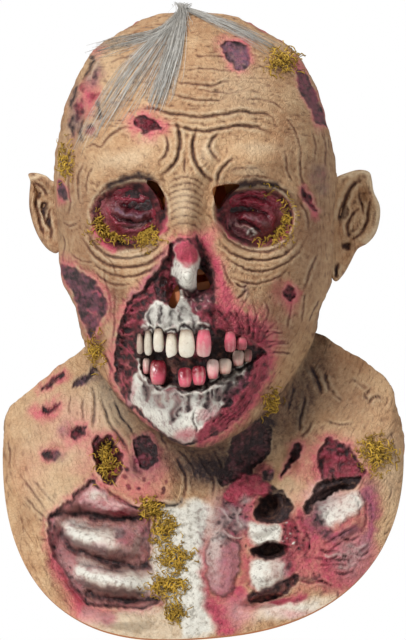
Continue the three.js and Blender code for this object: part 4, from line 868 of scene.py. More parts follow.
# Painted shade in dark and brown along the lower side of each rib, and fainter along its upper side.
for points, wide, amount in (
    ([62,534, 80,543, 98,549, 112,552], 3.0, 0.6), ([74,578, 94,587, 116,591, 150,591], 3.0, 0.6),
    ([60,518, 80,525, 98,530, 120,531], 1.8, 0.35), ([70,557, 92,566, 116,570, 140,572], 1.8, 0.35),
):
    stroke(chest, points, wide, -0.6, 0.1, dark=amount, brown=0.6)
dab(chest, 162, 556, 15, 52, 0, 0.0, 0.7, bone=0.85, raw=0.0, blush=0.1, dark=0.0, pale=0.6)
stroke(chest, [60,528, 62,538, 70,548], 5.0, 0.4, blush=0.9, raw=0.3)
stroke(chest, [68,566, 72,578, 84,588], 5.0, 0.4, blush=0.9, raw=0.4)
dab(chest, 126, 540, 18, 17, 0, 2.2, 0.7, blush=0.75, raw=0.35, bone=0.15, purple=0.25, dark=0.05)
for x, y, wide, high, colour in (
    (70, 525, 9, 4, "blush"), (104, 546, 8, 8, "raw"), (138, 548, 9, 12, "raw"), (118, 577, 18, 6, "blush"),
    (78, 580, 8, 9, "blush"), (103, 547, 7, 7, "raw"), (120, 532, 10, 7, "purple"), (144, 540, 7, 18, "raw"),
    (124, 554, 16, 5, "raw"), (100, 546, 12, 9, "blush"), (92, 568, 22, 4, "blush"),
):
    dab(chest, x, y, wide, high, 10, 0.0, 0.9, **{colour: 0.85})
for x, y in (
    (124, 531), (131, 537), (120, 543), (127, 548), (135, 532), (117, 536), (133, 546), (123, 554),
    (139, 540),
):
    dab(chest, x, y, 2.2, 1.7, 20, -0.6, 0.8, dark=0.6)
stroke(chest, [55,521, 53,534, 57,554, 64,574, 74,590, 84,604], 3.6, 1.2, 0.05, raw=0.9, blush=0.9, dark=0.1)
for points in (
    [64,519, 84,523, 104,527, 122,523], [68,522, 86,528, 106,531], [70,562, 92,566, 116,570, 132,571],
    [92,598, 116,602, 140,603], [96,566, 112,569, 128,572],
):
    crease(chest, 0.8, 0.7, points, 0.6)
for k, (x, y) in enumerate((
    (54, 526), (53, 536), (55, 548), (66, 557), (68, 568), (69, 578), (79, 590), (84, 597), (62, 551),
)):
    dab(chest, x, y, 2.6, 2.0, 40 * k, -1.4, 0.7, dark=0.85)
dab(chest, 62, 552, 6, 8, -20, 1.0, 0.8, purple=0.6, pale=0.4, dark=0.1)

# The lower edge of the hanging neck skin with a painted shadow in dark and brown under it, then the breastbone
# and the right side with its rib ends.
crease(chest, 1.5, 2.4, [104,489, 115,497, 127,503, 138,508, 147,505, 158,503, 170,506, 181,503, 185,494], 0.95)
for x, y in (
    (125, 478), (128, 486), (138, 490), (150, 484), (165, 490), (126, 470), (136, 462), (146, 478),
    (168, 482),
):
    dab(chest, x, y, 3.0, 3.6, 30, -0.8, 0.8, raw=0.7, dark=0.35)
patch(chest, [160,508, 178,506, 196,500, 210,506, 208,526, 201,552, 202,585, 210,612, 214,630, 190,638,
    160,636, 168,606, 164,580, 166,555, 163,530], 6.0, 0.5, bone=0.95, pale=0.8, brown=0.0, dark=0.0,
    blush=0.0)
patch(chest, [84,608, 110,612, 150,606, 172,612, 176,640, 120,640, 84,622], 4.0, 0.3, pale=0.6, brown=0.25,
    bone=0.2)
dab(chest, 106, 617, 16, 8, 15, 0.5, 0.9, raw=0.6, blush=0.9)
patch(chest, [210,540, 207,556, 208,575, 213,590, 222,598, 231,591, 235,577, 239,561, 237,544, 224,538], 1.6,
    1.4, rim=0.55, blush=0.75, purple=0.45, bone=0.1, dark=0.0)
for points, wide, amount in (
    ([206,500, 203,528, 201,556, 205,586, 214,612], 5.0, 0.7), ([238,585, 238,600, 236,618], 7.0, 0.95),
    ([238,540, 244,560, 242,585], 4.0, 0.5),
):
    stroke(chest, points, wide, -0.4, 0.1, blush=amount, raw=0.5 * amount)
for x, y, wide, high in (
    (232, 512, 12, 9), (240, 524, 12, 9), (222, 538, 12, 10), (246, 500, 9, 6), (225, 520, 9, 10),
):
    dab(chest, x, y, wide, high, 20, 0.5, 0.9, purple=0.75, blush=0.3, bone=0.25)
for x, y in (
    (228, 504), (236, 507), (244, 505), (239, 515), (246, 518), (230, 517), (220, 522), (226, 530),
    (236, 530), (214, 540), (220, 546), (240, 540), (246, 546), (212, 552), (216, 533), (250, 508),
):
    dab(chest, x, y, 2.4, 1.8, 15 * x, -0.9, 0.8, dark=0.75)
patch(chest, [222,494, 230,487, 236,477, 246,473, 258,476, 268,484, 272,492, 264,498, 254,496, 244,499,
    232,502], 1.8, 2.0, 0.4, rim=0.4, raw=0.75, blush=0.9, purple=0.0, dark=0.0)
patch(chest, [262,474, 271,469, 274,476, 268,482], 1.2, 0.6, purple=0.7, dark=0.45)
patch(chest, [268,492, 274,486, 284,494, 292,500, 290,505, 280,497], 1.0, -1.6, rim=0.5, dark=0.85)
for outline in (
    [247,525, 256,522, 268,526, 277,524, 281,534, 277,542, 262,543, 250,540],
    [251,561, 262,559, 274,561, 283,563, 284,573, 276,582, 262,587, 253,583, 249,571],
):
    patch(chest, outline, 3.4, 2.0, 0, 4, bone=1.0, blush=0.1, purple=0.1, raw=0.0, dark=0.0)
dab(chest, 288, 568, 8, 13, 5, 0.0, 0.9, raw=0.5, blush=1.0, purple=0.4)
for x, y, wide, high in (
    (292, 530, 9, 20), (300, 545, 9, 14), (290, 556, 8, 8), (340, 560, 26, 14), (352, 552, 16, 16),
):
    dab(chest, x, y, wide, high, 0, -0.4, 0.9, raw=0.85)
for x, y in (
    (284, 528), (289, 533), (294, 527), (287, 541), (296, 538), (300, 530), (291, 546), (304, 540),
    (283, 536), (298, 550), (310, 546), (306, 522),
):
    dab(chest, x, y, 2.2, 1.8, 10 * y, -1.3, 0.7, dark=0.8)
for x, y in ((286, 524), (292, 531), (285, 539), (295, 543), (289, 536)):
    dab(chest, x, y, 1.6, 1.3, 10 * x, 1.2, 0.7, bone=1.0, raw=0.0, dark=0.0)
patch(chest, [320,509, 330,501, 344,495, 356,490, 362,500, 357,512, 346,518, 333,526, 322,520], 4.0, 2.2,
    bone=0.85, blush=0.45, raw=0.0, dark=0.0)
dab(chest, 338, 458, 14, 8, 10, 1.6, 0.8, raw=0.7, blush=1.0, dark=0.0)
for points, wide in (
    ([330,440, 334,448, 340,446, 352,453], 1.8), ([354,456, 360,466, 366,474], 2.4),
    ([322,460, 321,470, 322,480], 2.0), ([326,450, 336,452, 348,455], 1.6),
):
    stroke(chest, points, wide, -1.0, dark=0.75)
for x, y, wide, high in ((318, 520, 9, 16), (326, 534, 12, 10), (320, 508, 8, 6)):
    dab(chest, x, y, wide, high, 20, 0.0, 0.9, purple=0.7, dark=0.45)
for points in (
    [322,546, 334,538, 348,530, 358,524], [326,552, 340,543, 352,536], [356,488, 364,500, 366,516, 362,530],
    [350,492, 358,504, 360,518], [366,490, 372,506, 372,522], [310,556, 324,560, 340,556, 352,560],
    [316,566, 332,564, 350,566], [330,550, 344,556, 350,566, 346,574], [298,580, 312,582, 328,578],
    [318,574, 324,582, 334,586], [336,590, 340,600],
):
    crease(chest, 1.0, 0.9, points, 0.6)
for points, wide in (
    ([364,486, 371,502, 372,522, 366,542, 356,560], 6.0), ([330,540, 346,532, 360,528], 4.0),
):
    stroke(chest, points, wide, 0.5, 0.1, purple=0.6, blush=0.8)
stroke(chest, [300,578, 312,578, 322,574], 2.6, -0.6, dark=0.6)
dab(chest, 290, 602, 18, 7, 0, 0.0, 0.9, blush=1.0, raw=0.35)
dab(chest, 292, 608, 58, 13, -8, 0.3, 0.9, pale=0.95, bone=0.75, raw=0.0, blush=0.1)
stroke(chest, [268,606, 282,601, 296,598, 308,594], 3.4, 0.3, raw=0.75, blush=0.95, bone=0.0)
stroke(chest, [207,596, 214,608, 222,622, 226,636], 7.0, 0.3, blush=1.0, raw=0.45, bone=0.0)
for points, wide in (
    ([284,516, 290,530, 286,546, 292,560, 290,576], 4.0), ([298,512, 306,526, 304,544, 310,560], 3.0),
):
    stroke(chest, points, wide, 0.8, raw=0.85, blush=0.7, dark=0.1)
for points in (
    [280,520, 286,528, 284,540, 290,552], [294,520, 298,534, 296,548], [303,530, 310,540, 308,554],
    [318,548, 326,552, 336,549], [324,562, 336,560, 350,562], [332,572, 344,574, 356,570],
    [340,536, 350,540, 362,536], [352,552, 362,556, 370,550], [312,570, 318,580, 330,582],
):
    crease(chest, 1.2, 1.3, points, 0.8)
for points in (
    [322,556, 334,555, 346,557], [336,566, 348,568, 358,564], [344,546, 356,548, 366,544],
    [216,506, 224,512, 230,522], [240,506, 236,518, 240,530], [222,528, 230,536, 242,538],
):
    stroke(chest, points, 1.5, 1.2, blush=0.5, bone=0.4, dark=0.0)

# A painted shadow under each moss tuft, then thin washes over bone and skin: a darker grey on the jaws and rose
# on the ribs, and painted shade in brown on the cheeks, the sides of the head and the neck.
airbrushed_paint_and_shade(
    face,
    dark=[118,232,22,16,0,0.55, 151,241,14,10,0,0.55, 272,226,20,20,0,0.55, 281,62,18,15,0,0.55,
        67,162,9,18,0,0.55, 97,350,8,18,0,0.55, 163,400,30,17,0,0.46, 178,316,26,14,0,0.44,
        92,258,28,30,0,0.1, 296,262,34,50,0,0.06, 318,190,16,60,0,0.08],
    brown=[92,258,28,30,0,0.4, 296,262,34,50,0,0.35, 84,200,14,60,0,0.45, 318,190,16,60,0,0.4],
    purple=[163,400,30,17,0,0.15, 178,316,26,14,0,0.1],
)
airbrushed_paint_and_shade(
    chest,
    dark=[152,508,12,10,0,0.45, 164,531,13,16,0,0.45, 174,558,15,13,0,0.45, 168,584,18,12,0,0.45,
        176,610,9,12,0,0.45, 375,454,16,16,0,0.45, 200,440,40,30,0,0.2, 300,400,26,50,0,0.15],
    brown=[152,508,12,10,0,0.4, 164,531,13,16,0,0.4, 174,558,15,13,0,0.4, 168,584,18,12,0,0.4,
        176,610,9,12,0,0.4, 375,454,16,16,0,0.4, 200,440,40,30,0,0.5, 120,440,40,40,0,0.25,
        300,400,26,50,0,0.5],
    blush=[106,505,38,9,0,0.85, 146,532,14,12,0,0.6, 104,545,13,14,0,0.5, 70,560,10,60,0,0.75,
        98,612,26,12,0,0.6, 352,556,30,36,0,0.85, 326,496,34,22,0,0.6, 300,470,16,20,0,0.45,
        214,540,12,60,0,0.5, 240,610,22,22,0,0.75, 292,612,34,8,0,0.7, 276,570,16,26,0,0.45,
        100,470,50,16,0,0.3],
    purple=[146,532,14,12,0,0.5, 104,545,13,14,0,0.4, 276,570,16,26,0,0.3],
    bone=[106,505,38,9,0,0.35, 146,532,14,12,0,0.2, 104,545,13,14,0,0.4, 352,556,30,36,0,0.3,
        326,496,34,22,0,0.5, 214,540,12,60,0,0.55, 240,610,22,22,0,0.3, 292,612,34,8,0,0.4,
        276,570,16,26,0,0.5],
)

# Raw flesh is clotted in lumps of two sizes, and all of the clay is a little uneven. The hollows are darkened
# in dark and brown, partly washed with dark paint and partly painted shade, and the high places get a painted
# highlight in pale.
for sheet, seed in ((face, 20), (chest, 40)):
    flesh = np.clip(sheet["raw"] + sheet["purple"] - sheet["bone"], 0, 1)
    flesh = flesh * (1 - 0.6 * eased(sheet["dark"], 0.75, 0.95))
    clot = 0.7 * cloud(2.3, seed + 7) + 0.6 * cloud(4.5, seed + 8)
    sheet["height"] += 0.5 * flesh * clot
    sheet["dark"] += flesh * (np.clip(-0.34 * clot, 0, 0.6) - sheet["dark"] * np.clip(0.4 * clot, 0, 0.7))
    sheet["blush"] = np.clip(sheet["blush"] + 0.35 * flesh * np.clip(clot, 0, 2), 0, 1)
    sheet["raw"] *= 1 - 0.3 * flesh * np.clip(clot - 0.6, 0, 1)
    rough = 0.5 + 0.5 * np.clip(sheet["raw"] + sheet["purple"], 0, 1)
    sheet["height"] += (0.16 * cloud(7, seed) + 0.13 * cloud(3.2, seed + 1)) * (0.7 + 0.8 * rough)
    sheet["height"] += 0.12 * cloud(1.6, seed + 2) * rough
    # Painted shade in the hollows, partly washed-in paint, and a painted highlight in pale on the high places.
    hollow = softened(sheet["height"], 5) - sheet["height"]
    sheet["dark"] += (1 - sheet["dark"]) * np.clip(0.5 * hollow - 0.06, 0, 0.7)
    sheet["brown"] += (1 - np.clip(sheet["brown"], 0, 1)) * np.clip(1.1 * hollow, 0, 0.8)
    sheet["pale"] += (1 - sheet["pale"]) * np.clip(-0.5 * hollow, 0, 0.6)
    sheet["dark"] += 0.35 * np.clip(cloud(1.7, seed + 3) - 2.1, 0, 1) * (1 - sheet["bone"])


# The skin itself. It is poured in one, so its three sheets here meet without a seam: crown to eyes, eyes to
# throat, and the bib. It is worked out as rows down and columns round, closer together at the front.
columns, front_share, rows_each = 432, 0.45, 226
cut_rows = (0.0, 8.2, 14.0, float(hem))


def blended(grid, u, v):
    """The value of a grid at columns u and rows v, by shares of the four nearest cells."""
    i, j = u.astype(int), v.astype(int)
    tu, tv = u - i, v - j
    return ((grid[j, i] * (1 - tu) + grid[j, i + 1] * tu) * (1 - tv)
            + (grid[j + 1, i] * (1 - tu) + grid[j + 1, i + 1] * tu) * tv)


def sampled(sheet, x, y, per_square=fine):
    """The value of a sheet at places of the front view."""
    return blended(sheet, np.clip((x - left) * per_square - 0.5, 0, sheet.shape[1] - 1.01),
                   np.clip((y - top) * per_square - 0.5, 0, sheet.shape[0] - 1.01))


middle_line, view_top = 197, 8.4  # where X is 0, in squares, and Z of the view's top, in millimetres


def front_view(points):
    """Places of the front view, in squares from its top left."""
    return middle_line + points[..., 0] / squares, (view_top - points[..., 2]) / squares


def placed(px, y, py):
    """The other way: points from squares across, Y in millimetres and squares down."""
    return np.stack(np.broadcast_arrays((px - middle_line) * squares, y, view_top - py * squares), -1)


def even_rows(start, end, count):
    """Loop numbers at equal steps along the front and side profiles, taken together."""
    s = np.linspace(start, end, 400)
    step = sum(np.linalg.norm(np.diff(plain_shell(np.full(400, a), s), axis=0), axis=1) for a in (0.0, 0.9))
    length = np.concatenate([[0], np.cumsum(step)])
    return np.interp(np.linspace(0, length[-1], count + 1), length, s)


def normals_of(points):
    """Cross product of the steps down and round a grid that closes on itself sideways."""
    return unit(np.cross(np.gradient(points, axis=0), np.roll(points, -1, 1) - np.roll(points, 1, 1)))


row_place = np.concatenate([even_rows(a, b, rows_each)[(0 if i == 0 else 1):]
                            for i, (a, b) in enumerate(zip(cut_rows, cut_rows[1:]))])
column_share = 2 * np.arange(columns) / columns - 1
column_angle = np.pi * column_share * (front_share + (1 - front_share) * column_share ** 2)
angle, s = np.meshgrid(column_angle, row_place)
skin = plain_shell(angle, s)
plain = plain_normal(angle, s)
view_x, view_y = front_view(skin)
facing = eased(-plain[..., 1], 0.05, 0.35) * (np.cos(angle) >= 0)
painted = eased(-plain[..., 1], -0.04, 0.16)
on_chest = eased(s, 13.2, 14.4)
skin[..., 1] -= sculpted(angle, s)


def on_skin(name):
    """A sheet's value at each vertex of the skin: the head's above the throat, the bib's below it."""
    on_head, on_bib = (sampled(sheet[name], view_x, view_y) for sheet in (face, chest))
    return (1 - on_chest) * on_head + on_chest * on_bib


side_line = plain_shell(np.full(len(row_place), 2.2), row_place)
side_steps = np.linalg.norm(np.diff(side_line, axis=0), axis=1)
way_down = np.concatenate([[0], np.cumsum(side_steps)])[:, None] / squares
noise_down, noise_round = 900, 880  # cells of noise down the side, a square each, and round the head


def wrapped(scale, seed):
    """Softened noise that goes round the head and meets itself, taken at the angle and the way down."""
    noise = cloud(scale, seed, (noise_down, noise_round))
    return blended(np.concatenate([noise, noise[:, :1]], 1), (angle / (2 * np.pi) * noise_round) % noise_round,
                   np.clip(np.broadcast_to(way_down, angle.shape), 0, noise_down - 1.01))


loose = 0.35 * wrapped(6, 60) + 0.25 * wrapped(3, 61) + 0.45 * wrapped(16, 62)
loose -= 0.4 * np.exp(-(wrapped(5, 65) / 0.25) ** 2)
skin[..., 1] -= facing * on_skin("height")
skin += plain * ((1 - facing) * loose * eased(s, 0.3, 1.5))[..., None]
skin_normals = normals_of(skin)
skin_normals[0] = (0, 0, 1)
skin_paint = {name: np.clip(on_skin(name) * painted, 0, 1) for name in paints}
# Where the sheets give no paint the skin is browner, with purple and rose blotches, and darker where its loose
# wrinkles sink, partly as painted shade. A band of painted shade in dark runs all round under the jaw and
# throat.
behind = 1 - painted
rot, bruise = wrapped(14, 63), wrapped(20, 64)
skin_paint["brown"] = np.clip(skin_paint["brown"] + behind * (0.4 + 0.15 * rot), 0, 1)
skin_paint["purple"] += behind * 0.6 * eased(bruise, 1.2, 2.0)
skin_paint["blush"] += behind * 0.5 * eased(rot, 1.0, 2.0)
skin_paint["dark"] = np.clip(skin_paint["dark"] + behind * 0.5 * eased(-loose, 0.45, 1.1)
                             + 0.55 * eased(s, 12.4, 13.4) * (1 - eased(s, 15.6, 16.6)), 0, 1)

# How far forward the skin stands at each square of the front view, for what is glued on it.
far = 1e9
front_face = np.full((sheet_high, sheet_wide), far)
seen = skin_normals[..., 1] < -0.02
px, py = front_view(skin[seen])
cells = np.clip((py - top).astype(int), 0, sheet_high - 1), np.clip((px - left).astype(int), 0, sheet_wide - 1)
np.minimum.at(front_face, cells, skin[seen][:, 1])
for _ in range(6):  # squares that no vertex fell in take the mean of their neighbours
    near = np.stack([np.roll(front_face, k, a) for a in (0, 1) for k in (-1, 1)])
    known = near < far / 10
    mean = np.where(known, near, 0).sum(0) / np.maximum(known.sum(0), 1)
    front_face = np.where((front_face > far / 10) & (known.sum(0) > 0), mean, front_face)
front_face = np.where(front_face > far / 10, 0.0, front_face)


def stands_at(x, y):
    """Y of the skin at places of the front view, in millimetres."""
    return sampled(front_face, x, y, 1)


# Holes go right through the wall: a gap to see through beside each eye and the two nose holes.
holes = {
    "seeing_left": [145,182, 157,184, 165,199, 163,213, 158,200, 151,189],
    "seeing_right": [215,188, 239,186, 229,197, 219,210, 214,200],
    "nose_left": [177,285, 180,297, 175,308, 169,304],
    "nose_right": [198,270, 205,274, 210,287, 202,290, 197,288],
}
hole_lines = {name: smooth_line(points, closed=True) for name, points in holes.items()}


def cut_holes(points, front_rows):
    """Marks the vertices inside a hole, and moves each of them to the nearest place on its edge."""
    x, y = front_view(points)
    inside = np.zeros(x.shape, bool)
    candidates = front_rows & (points[..., 1] < 0)
    for line in hole_lines.values():
        near_it = (candidates & (x > line[:, 0].min()) & (x < line[:, 0].max())
                   & (y > line[:, 1].min()) & (y < line[:, 1].max()))
        distance, along = measured(x[near_it], y[near_it], line, True)
        k = np.floor(along * len(line)).astype(int)
        t = (along * len(line) - k)[:, None]
        edge = line[k % len(line)] * (1 - t) + line[(k + 1) % len(line)] * t
        place = points[near_it]
        points[near_it] = np.where((distance < 0)[:, None], placed(edge[:, 0], place[:, 1], edge[:, 1]), place)
        inside[near_it] = distance < 0
    return inside


def new_piece(name, points, quads, triangles, material, nodes, normals=None, values=None):
    """A mesh object from whole arrays of places in millimetres and of corner numbers."""
    mesh = bpy.data.meshes.new(name)
    quads, triangles = np.asarray(quads, int).reshape(-1, 4), np.asarray(triangles, int).reshape(-1, 3)
    corners = np.concatenate([quads.ravel(), triangles.ravel()])
    used, corners = np.unique(corners, return_inverse=True)
    points = np.asarray(points, float).reshape(-1, 3)[used]
    sizes = np.concatenate([np.full(len(quads), 4), np.full(len(triangles), 3)])
    mesh.vertices.add(len(points))
    mesh.vertices.foreach_set("co", (points * mm).ravel().astype(np.float32))
    mesh.loops.add(len(corners))
    mesh.loops.foreach_set("vertex_index", corners.ravel().astype(np.int32))
    mesh.polygons.add(len(sizes))
    mesh.polygons.foreach_set("loop_start", np.concatenate([[0], np.cumsum(sizes)[:-1]]).astype(np.int32))
    mesh.update(calc_edges=True)
    mesh.polygons.foreach_set("use_smooth", np.full(len(sizes), True))
    for key, amounts in (values or {}).items():
        layer = mesh.attributes.new(key, "FLOAT", "POINT")
        layer.data.foreach_set("value", np.asarray(amounts, np.float32).ravel()[used])
    if normals is not None:
        mesh.normals_split_custom_set_from_vertices(np.asarray(normals).reshape(-1, 3)[used].tolist())
    mesh.materials.append(material)
    made = bpy.data.objects.new(name, mesh)
    scene.collection.objects.link(made)
    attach(made, "root")
    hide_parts(*nodes)
    return made


def grid_quads(rows, cols):
    """Corner numbers of a grid: down one row, then one column on. Its last column joins its first."""
    r, c = np.meshgrid(np.arange(rows - 1), np.arange(cols), indexing="ij")
    n = (c + 1) % cols
    return np.stack([r * cols + c, (r + 1) * cols + c, (r + 1) * cols + n, r * cols + n], -1)


# Painted latex: rubber-based airbrush paint over cast natural latex, satin, with pores and fine crackle from
# the clay. Raw places are glossier, and bone is smoother.
def painted_latex(name, pore_depth=1.0, gloss=0.0, base="#B78A62", light="#D2AE85", dark_paint_and_shade="#28171A"):
    """Two tans in blotches under seven paints. Each paint is mixed in by its attribute times the spray's grain.
    Roughness falls with raw and gloss. The bump is pores, flecks, crackle and spray added up, less on bone."""
    material, tree, shader, place = started(name)
    # A scale is 1000 over the size in millimetres: blotches 22, spray 4, flecks 1.1, pores 1.6, crackle 3. Real
    # pores and spray are finer, about 0.3, and wouldn't show at this distance.
    blotch = node(tree, "TexNoise", {"Vector": place, "Scale": 45, "Detail": 5, "Roughness": 0.6})
    spray = node(tree, "TexNoise", {"Vector": place, "Scale": 260, "Detail": 6, "Roughness": 0.7})
    fleck = node(tree, "TexNoise", {"Vector": place, "Scale": 900, "Detail": 3, "Roughness": 0.6})
    pores = node(tree, "TexVoronoi", {"Vector": place, "Scale": 620})
    crackle = node(tree, "TexVoronoi", {"Vector": place, "Scale": 330}, feature="DISTANCE_TO_EDGE")
    colour = node(tree, "Mix", {0: node(tree, "MapRange", {0: blotch, 1: 0.35, 2: 0.68}), 6: linear(base),
                                7: linear(light)}, data_type="RGBA").outputs[2]
    colour = node(tree, "Mix", {0: node(tree, "MapRange", {0: spray, 1: 0.45, 2: 0.75, 4: 0.5}), 6: colour,
                                7: linear("#A5764C")}, data_type="RGBA").outputs[2]
    breakup = node(tree, "Math", {0: spray, 1: 1.5, 2: 0.25}, operation="MULTIPLY_ADD")
    amounts = {}
    # The dark paint stands both for dark paint, in wounds and washes, and for painted shade and shadow in
    # hollows, under lids and under the moss.
    for paint, tint in dict(brown="#7C5036", pale="#E2CCAA", blush="#D4566E", purple="#6A4E60", raw="#861C30",
                            bone="#DAD7CC", dark=dark_paint_and_shade).items():
        amounts[paint] = node(tree, "Attribute", attribute_name=paint).outputs["Fac"]
        share = node(tree, "Math", {0: amounts[paint], 1: breakup}, operation="MULTIPLY", use_clamp=True)
        tint = linear(tint)
        if paint == "bone":  # ivory rubbed over grey
            patchy = node(tree, "MapRange", {0: spray, 1: 0.36, 2: 0.5})
            tint = node(tree, "Mix", {0: patchy, 6: linear("#8C8F8C"), 7: tint}, data_type="RGBA").outputs[2]
        colour = node(tree, "Mix", {0: share, 6: colour, 7: tint}, data_type="RGBA").outputs[2]
    colour = node(tree, "Mix", {0: node(tree, "MapRange", {0: fleck, 1: 0.6, 2: 0.75, 4: 0.4}), 6: colour,
                                7: linear("#4A2E20")}, data_type="RGBA").outputs[2]
    wet = node(tree, "Math", {0: amounts["raw"], 1: -0.28, 2: 0.58 - gloss}, operation="MULTIPLY_ADD")
    grain = node(tree, "Math", {0: pores, 1: 0.5, 2: fleck}, operation="MULTIPLY_ADD")
    edges = node(tree, "MapRange", {0: crackle, 2: 0.12, 4: 0.7})
    relief = node(tree, "Math", {0: grain, 1: edges}, operation="ADD")
    relief = node(tree, "Math", {0: spray, 1: 1.4, 2: relief}, operation="MULTIPLY_ADD")
    strength = node(tree, "Math", {0: amounts["bone"], 1: -0.42, 2: 0.6}, operation="MULTIPLY_ADD")
    rough = node(tree, "Math", {0: spray, 1: 0.25, 2: wet}, operation="MULTIPLY_ADD")
    bump = node(tree, "Bump", {"Height": relief, "Strength": strength, "Distance": 0.0007 * pore_depth})
    node(tree, shader, {"Base Color": colour, "Roughness": rough, "Normal": bump})
    return material


skin_latex = painted_latex("painted_latex", pore_depth=1.9)
holes_above = 11  # every hole is above this loop
hole_inside = cut_holes(skin, s < holes_above)
quads = grid_quads(len(row_place), columns)
kept = ~np.all(hole_inside.ravel()[quads], axis=-1)
for i, name in enumerate(("skin_crown", "skin_jaw", "skin_bib")):
    rows = slice(i * rows_each, (i + 1) * rows_each)
    piece_quads, piece_kept = quads[rows], kept[rows]
    triangles = []
    if i == 0:
        triangles = np.stack([0 * piece_quads[0, :, 1], piece_quads[0, :, 1], piece_quads[0, :, 2]], -1)
        piece_quads, piece_kept = piece_quads[1:], piece_kept[1:]
    new_piece(name, skin, piece_quads[piece_kept], triangles, skin_latex, ["latex_skin"],
              skin_normals, skin_paint)

# The inside of the casting, bare orange-brown latex, smoother than the outside, with the hem and the edges
# of the holes where the wall shows its thickness.
bare_latex, tree, shader, place = started("bare_latex")
ripple = node(tree, "TexNoise", {"Vector": place, "Scale": 60, "Detail": 5})  # pour marks 17 mm apart
colour = node(tree, "Mix", {0: ripple, 6: linear("#A55A2A"), 7: linear("#CB8248")}, data_type="RGBA")
rough = node(tree, "MapRange", {0: ripple, 3: 0.4, 4: 0.7})
bump = node(tree, "Bump", {"Height": ripple, "Strength": 0.5, "Distance": 0.002})
node(tree, shader, {"Base Color": colour.outputs[2], "Roughness": rough, "Normal": bump})

inner_columns, inner_rows = columns // 4, 100
inner_angle, inner_s = np.meshgrid(column_angle[::4], even_rows(0.0, float(hem), inner_rows)[::-1])
inside_skin = plain_shell(inner_angle, inner_s) - wall * plain_normal(inner_angle, inner_s)
# It follows the lowest relief near each place and stays behind the skin, so that it never comes through it.
lowest = np.min([sculpted(inner_angle + i * 0.0375, np.clip(inner_s + j * 0.55, 0, hem))
                 for i in (-1, 0, 1) for j in (-1, -0.5, 0, 0.5, 1)], axis=0)
inside_skin[..., 1] -= lowest - 2.5 * eased(-plain_normal(inner_angle, inner_s)[..., 1], 0.1, 0.4)
deepest = front_face.copy()
for _ in range(7):  # squares all round in which the skin's deepest place counts
    deepest = np.max([np.roll(deepest, k, a) for a in (0, 1) for k in (-1, 0, 1)], axis=0)
px, py = front_view(inside_skin)
cells = np.clip(py - top, 0, sheet_high - 1).astype(int), np.clip(px - left, 0, sheet_wide - 1).astype(int)
behind_skin, inner_y = deepest[cells] + 1.0, inside_skin[..., 1].copy()
too_far_out = (plain_normal(inner_angle, inner_s)[..., 1] < -0.35) & (behind_skin < inner_y + 14)
inside_skin[..., 1] = np.where(too_far_out, np.maximum(inner_y, behind_skin), inner_y)
inner_inside = cut_holes(inside_skin, inner_s < holes_above)
inner_quads = grid_quads(inner_rows + 1, inner_columns)
inner_kept = ~np.all(inner_inside.ravel()[inner_quads], axis=-1)
inner_kept[-1] = False
pole = inner_quads[-1]
cap = np.stack([pole[:, 0], 0 * pole[:, 1] + pole[0, 1], pole[:, 3]], -1)
new_piece("skin_inside", inside_skin, inner_quads[inner_kept], cap, bare_latex, ["latex_skin"])

before = np.arange(columns) // 4
share = (np.arange(columns) % 4 / 4)[:, None]
hem_in = inside_skin[0][before] * (1 - share) + inside_skin[0][(before + 1) % inner_columns] * share
round_edge = np.linspace(0, 1, 5)[:, None, None]
hem_strip = skin[-1] * (1 - round_edge) + hem_in * round_edge
hem_strip[..., 2] -= 1.1 * np.sin(np.pi * round_edge[..., 0])
new_piece("skin_hem", hem_strip, grid_quads(5, columns), [], bare_latex, ["latex_skin"])
for name, line in hole_lines.items():
    strip = placed(line[:, 0], stands_at(*line.T) + np.linspace(-0.4, 7.0, 5)[:, None], line[:, 1])
    x, z = strip[0, :, 0], strip[0, :, 2]
    order = 1 if np.sum(x * np.roll(z, -1) - np.roll(x, -1) * z) > 0 else -1
    new_piece("hole_edge_" + name, strip[:, ::order], grid_quads(5, len(line)), [], bare_latex,
              ["latex_skin"])

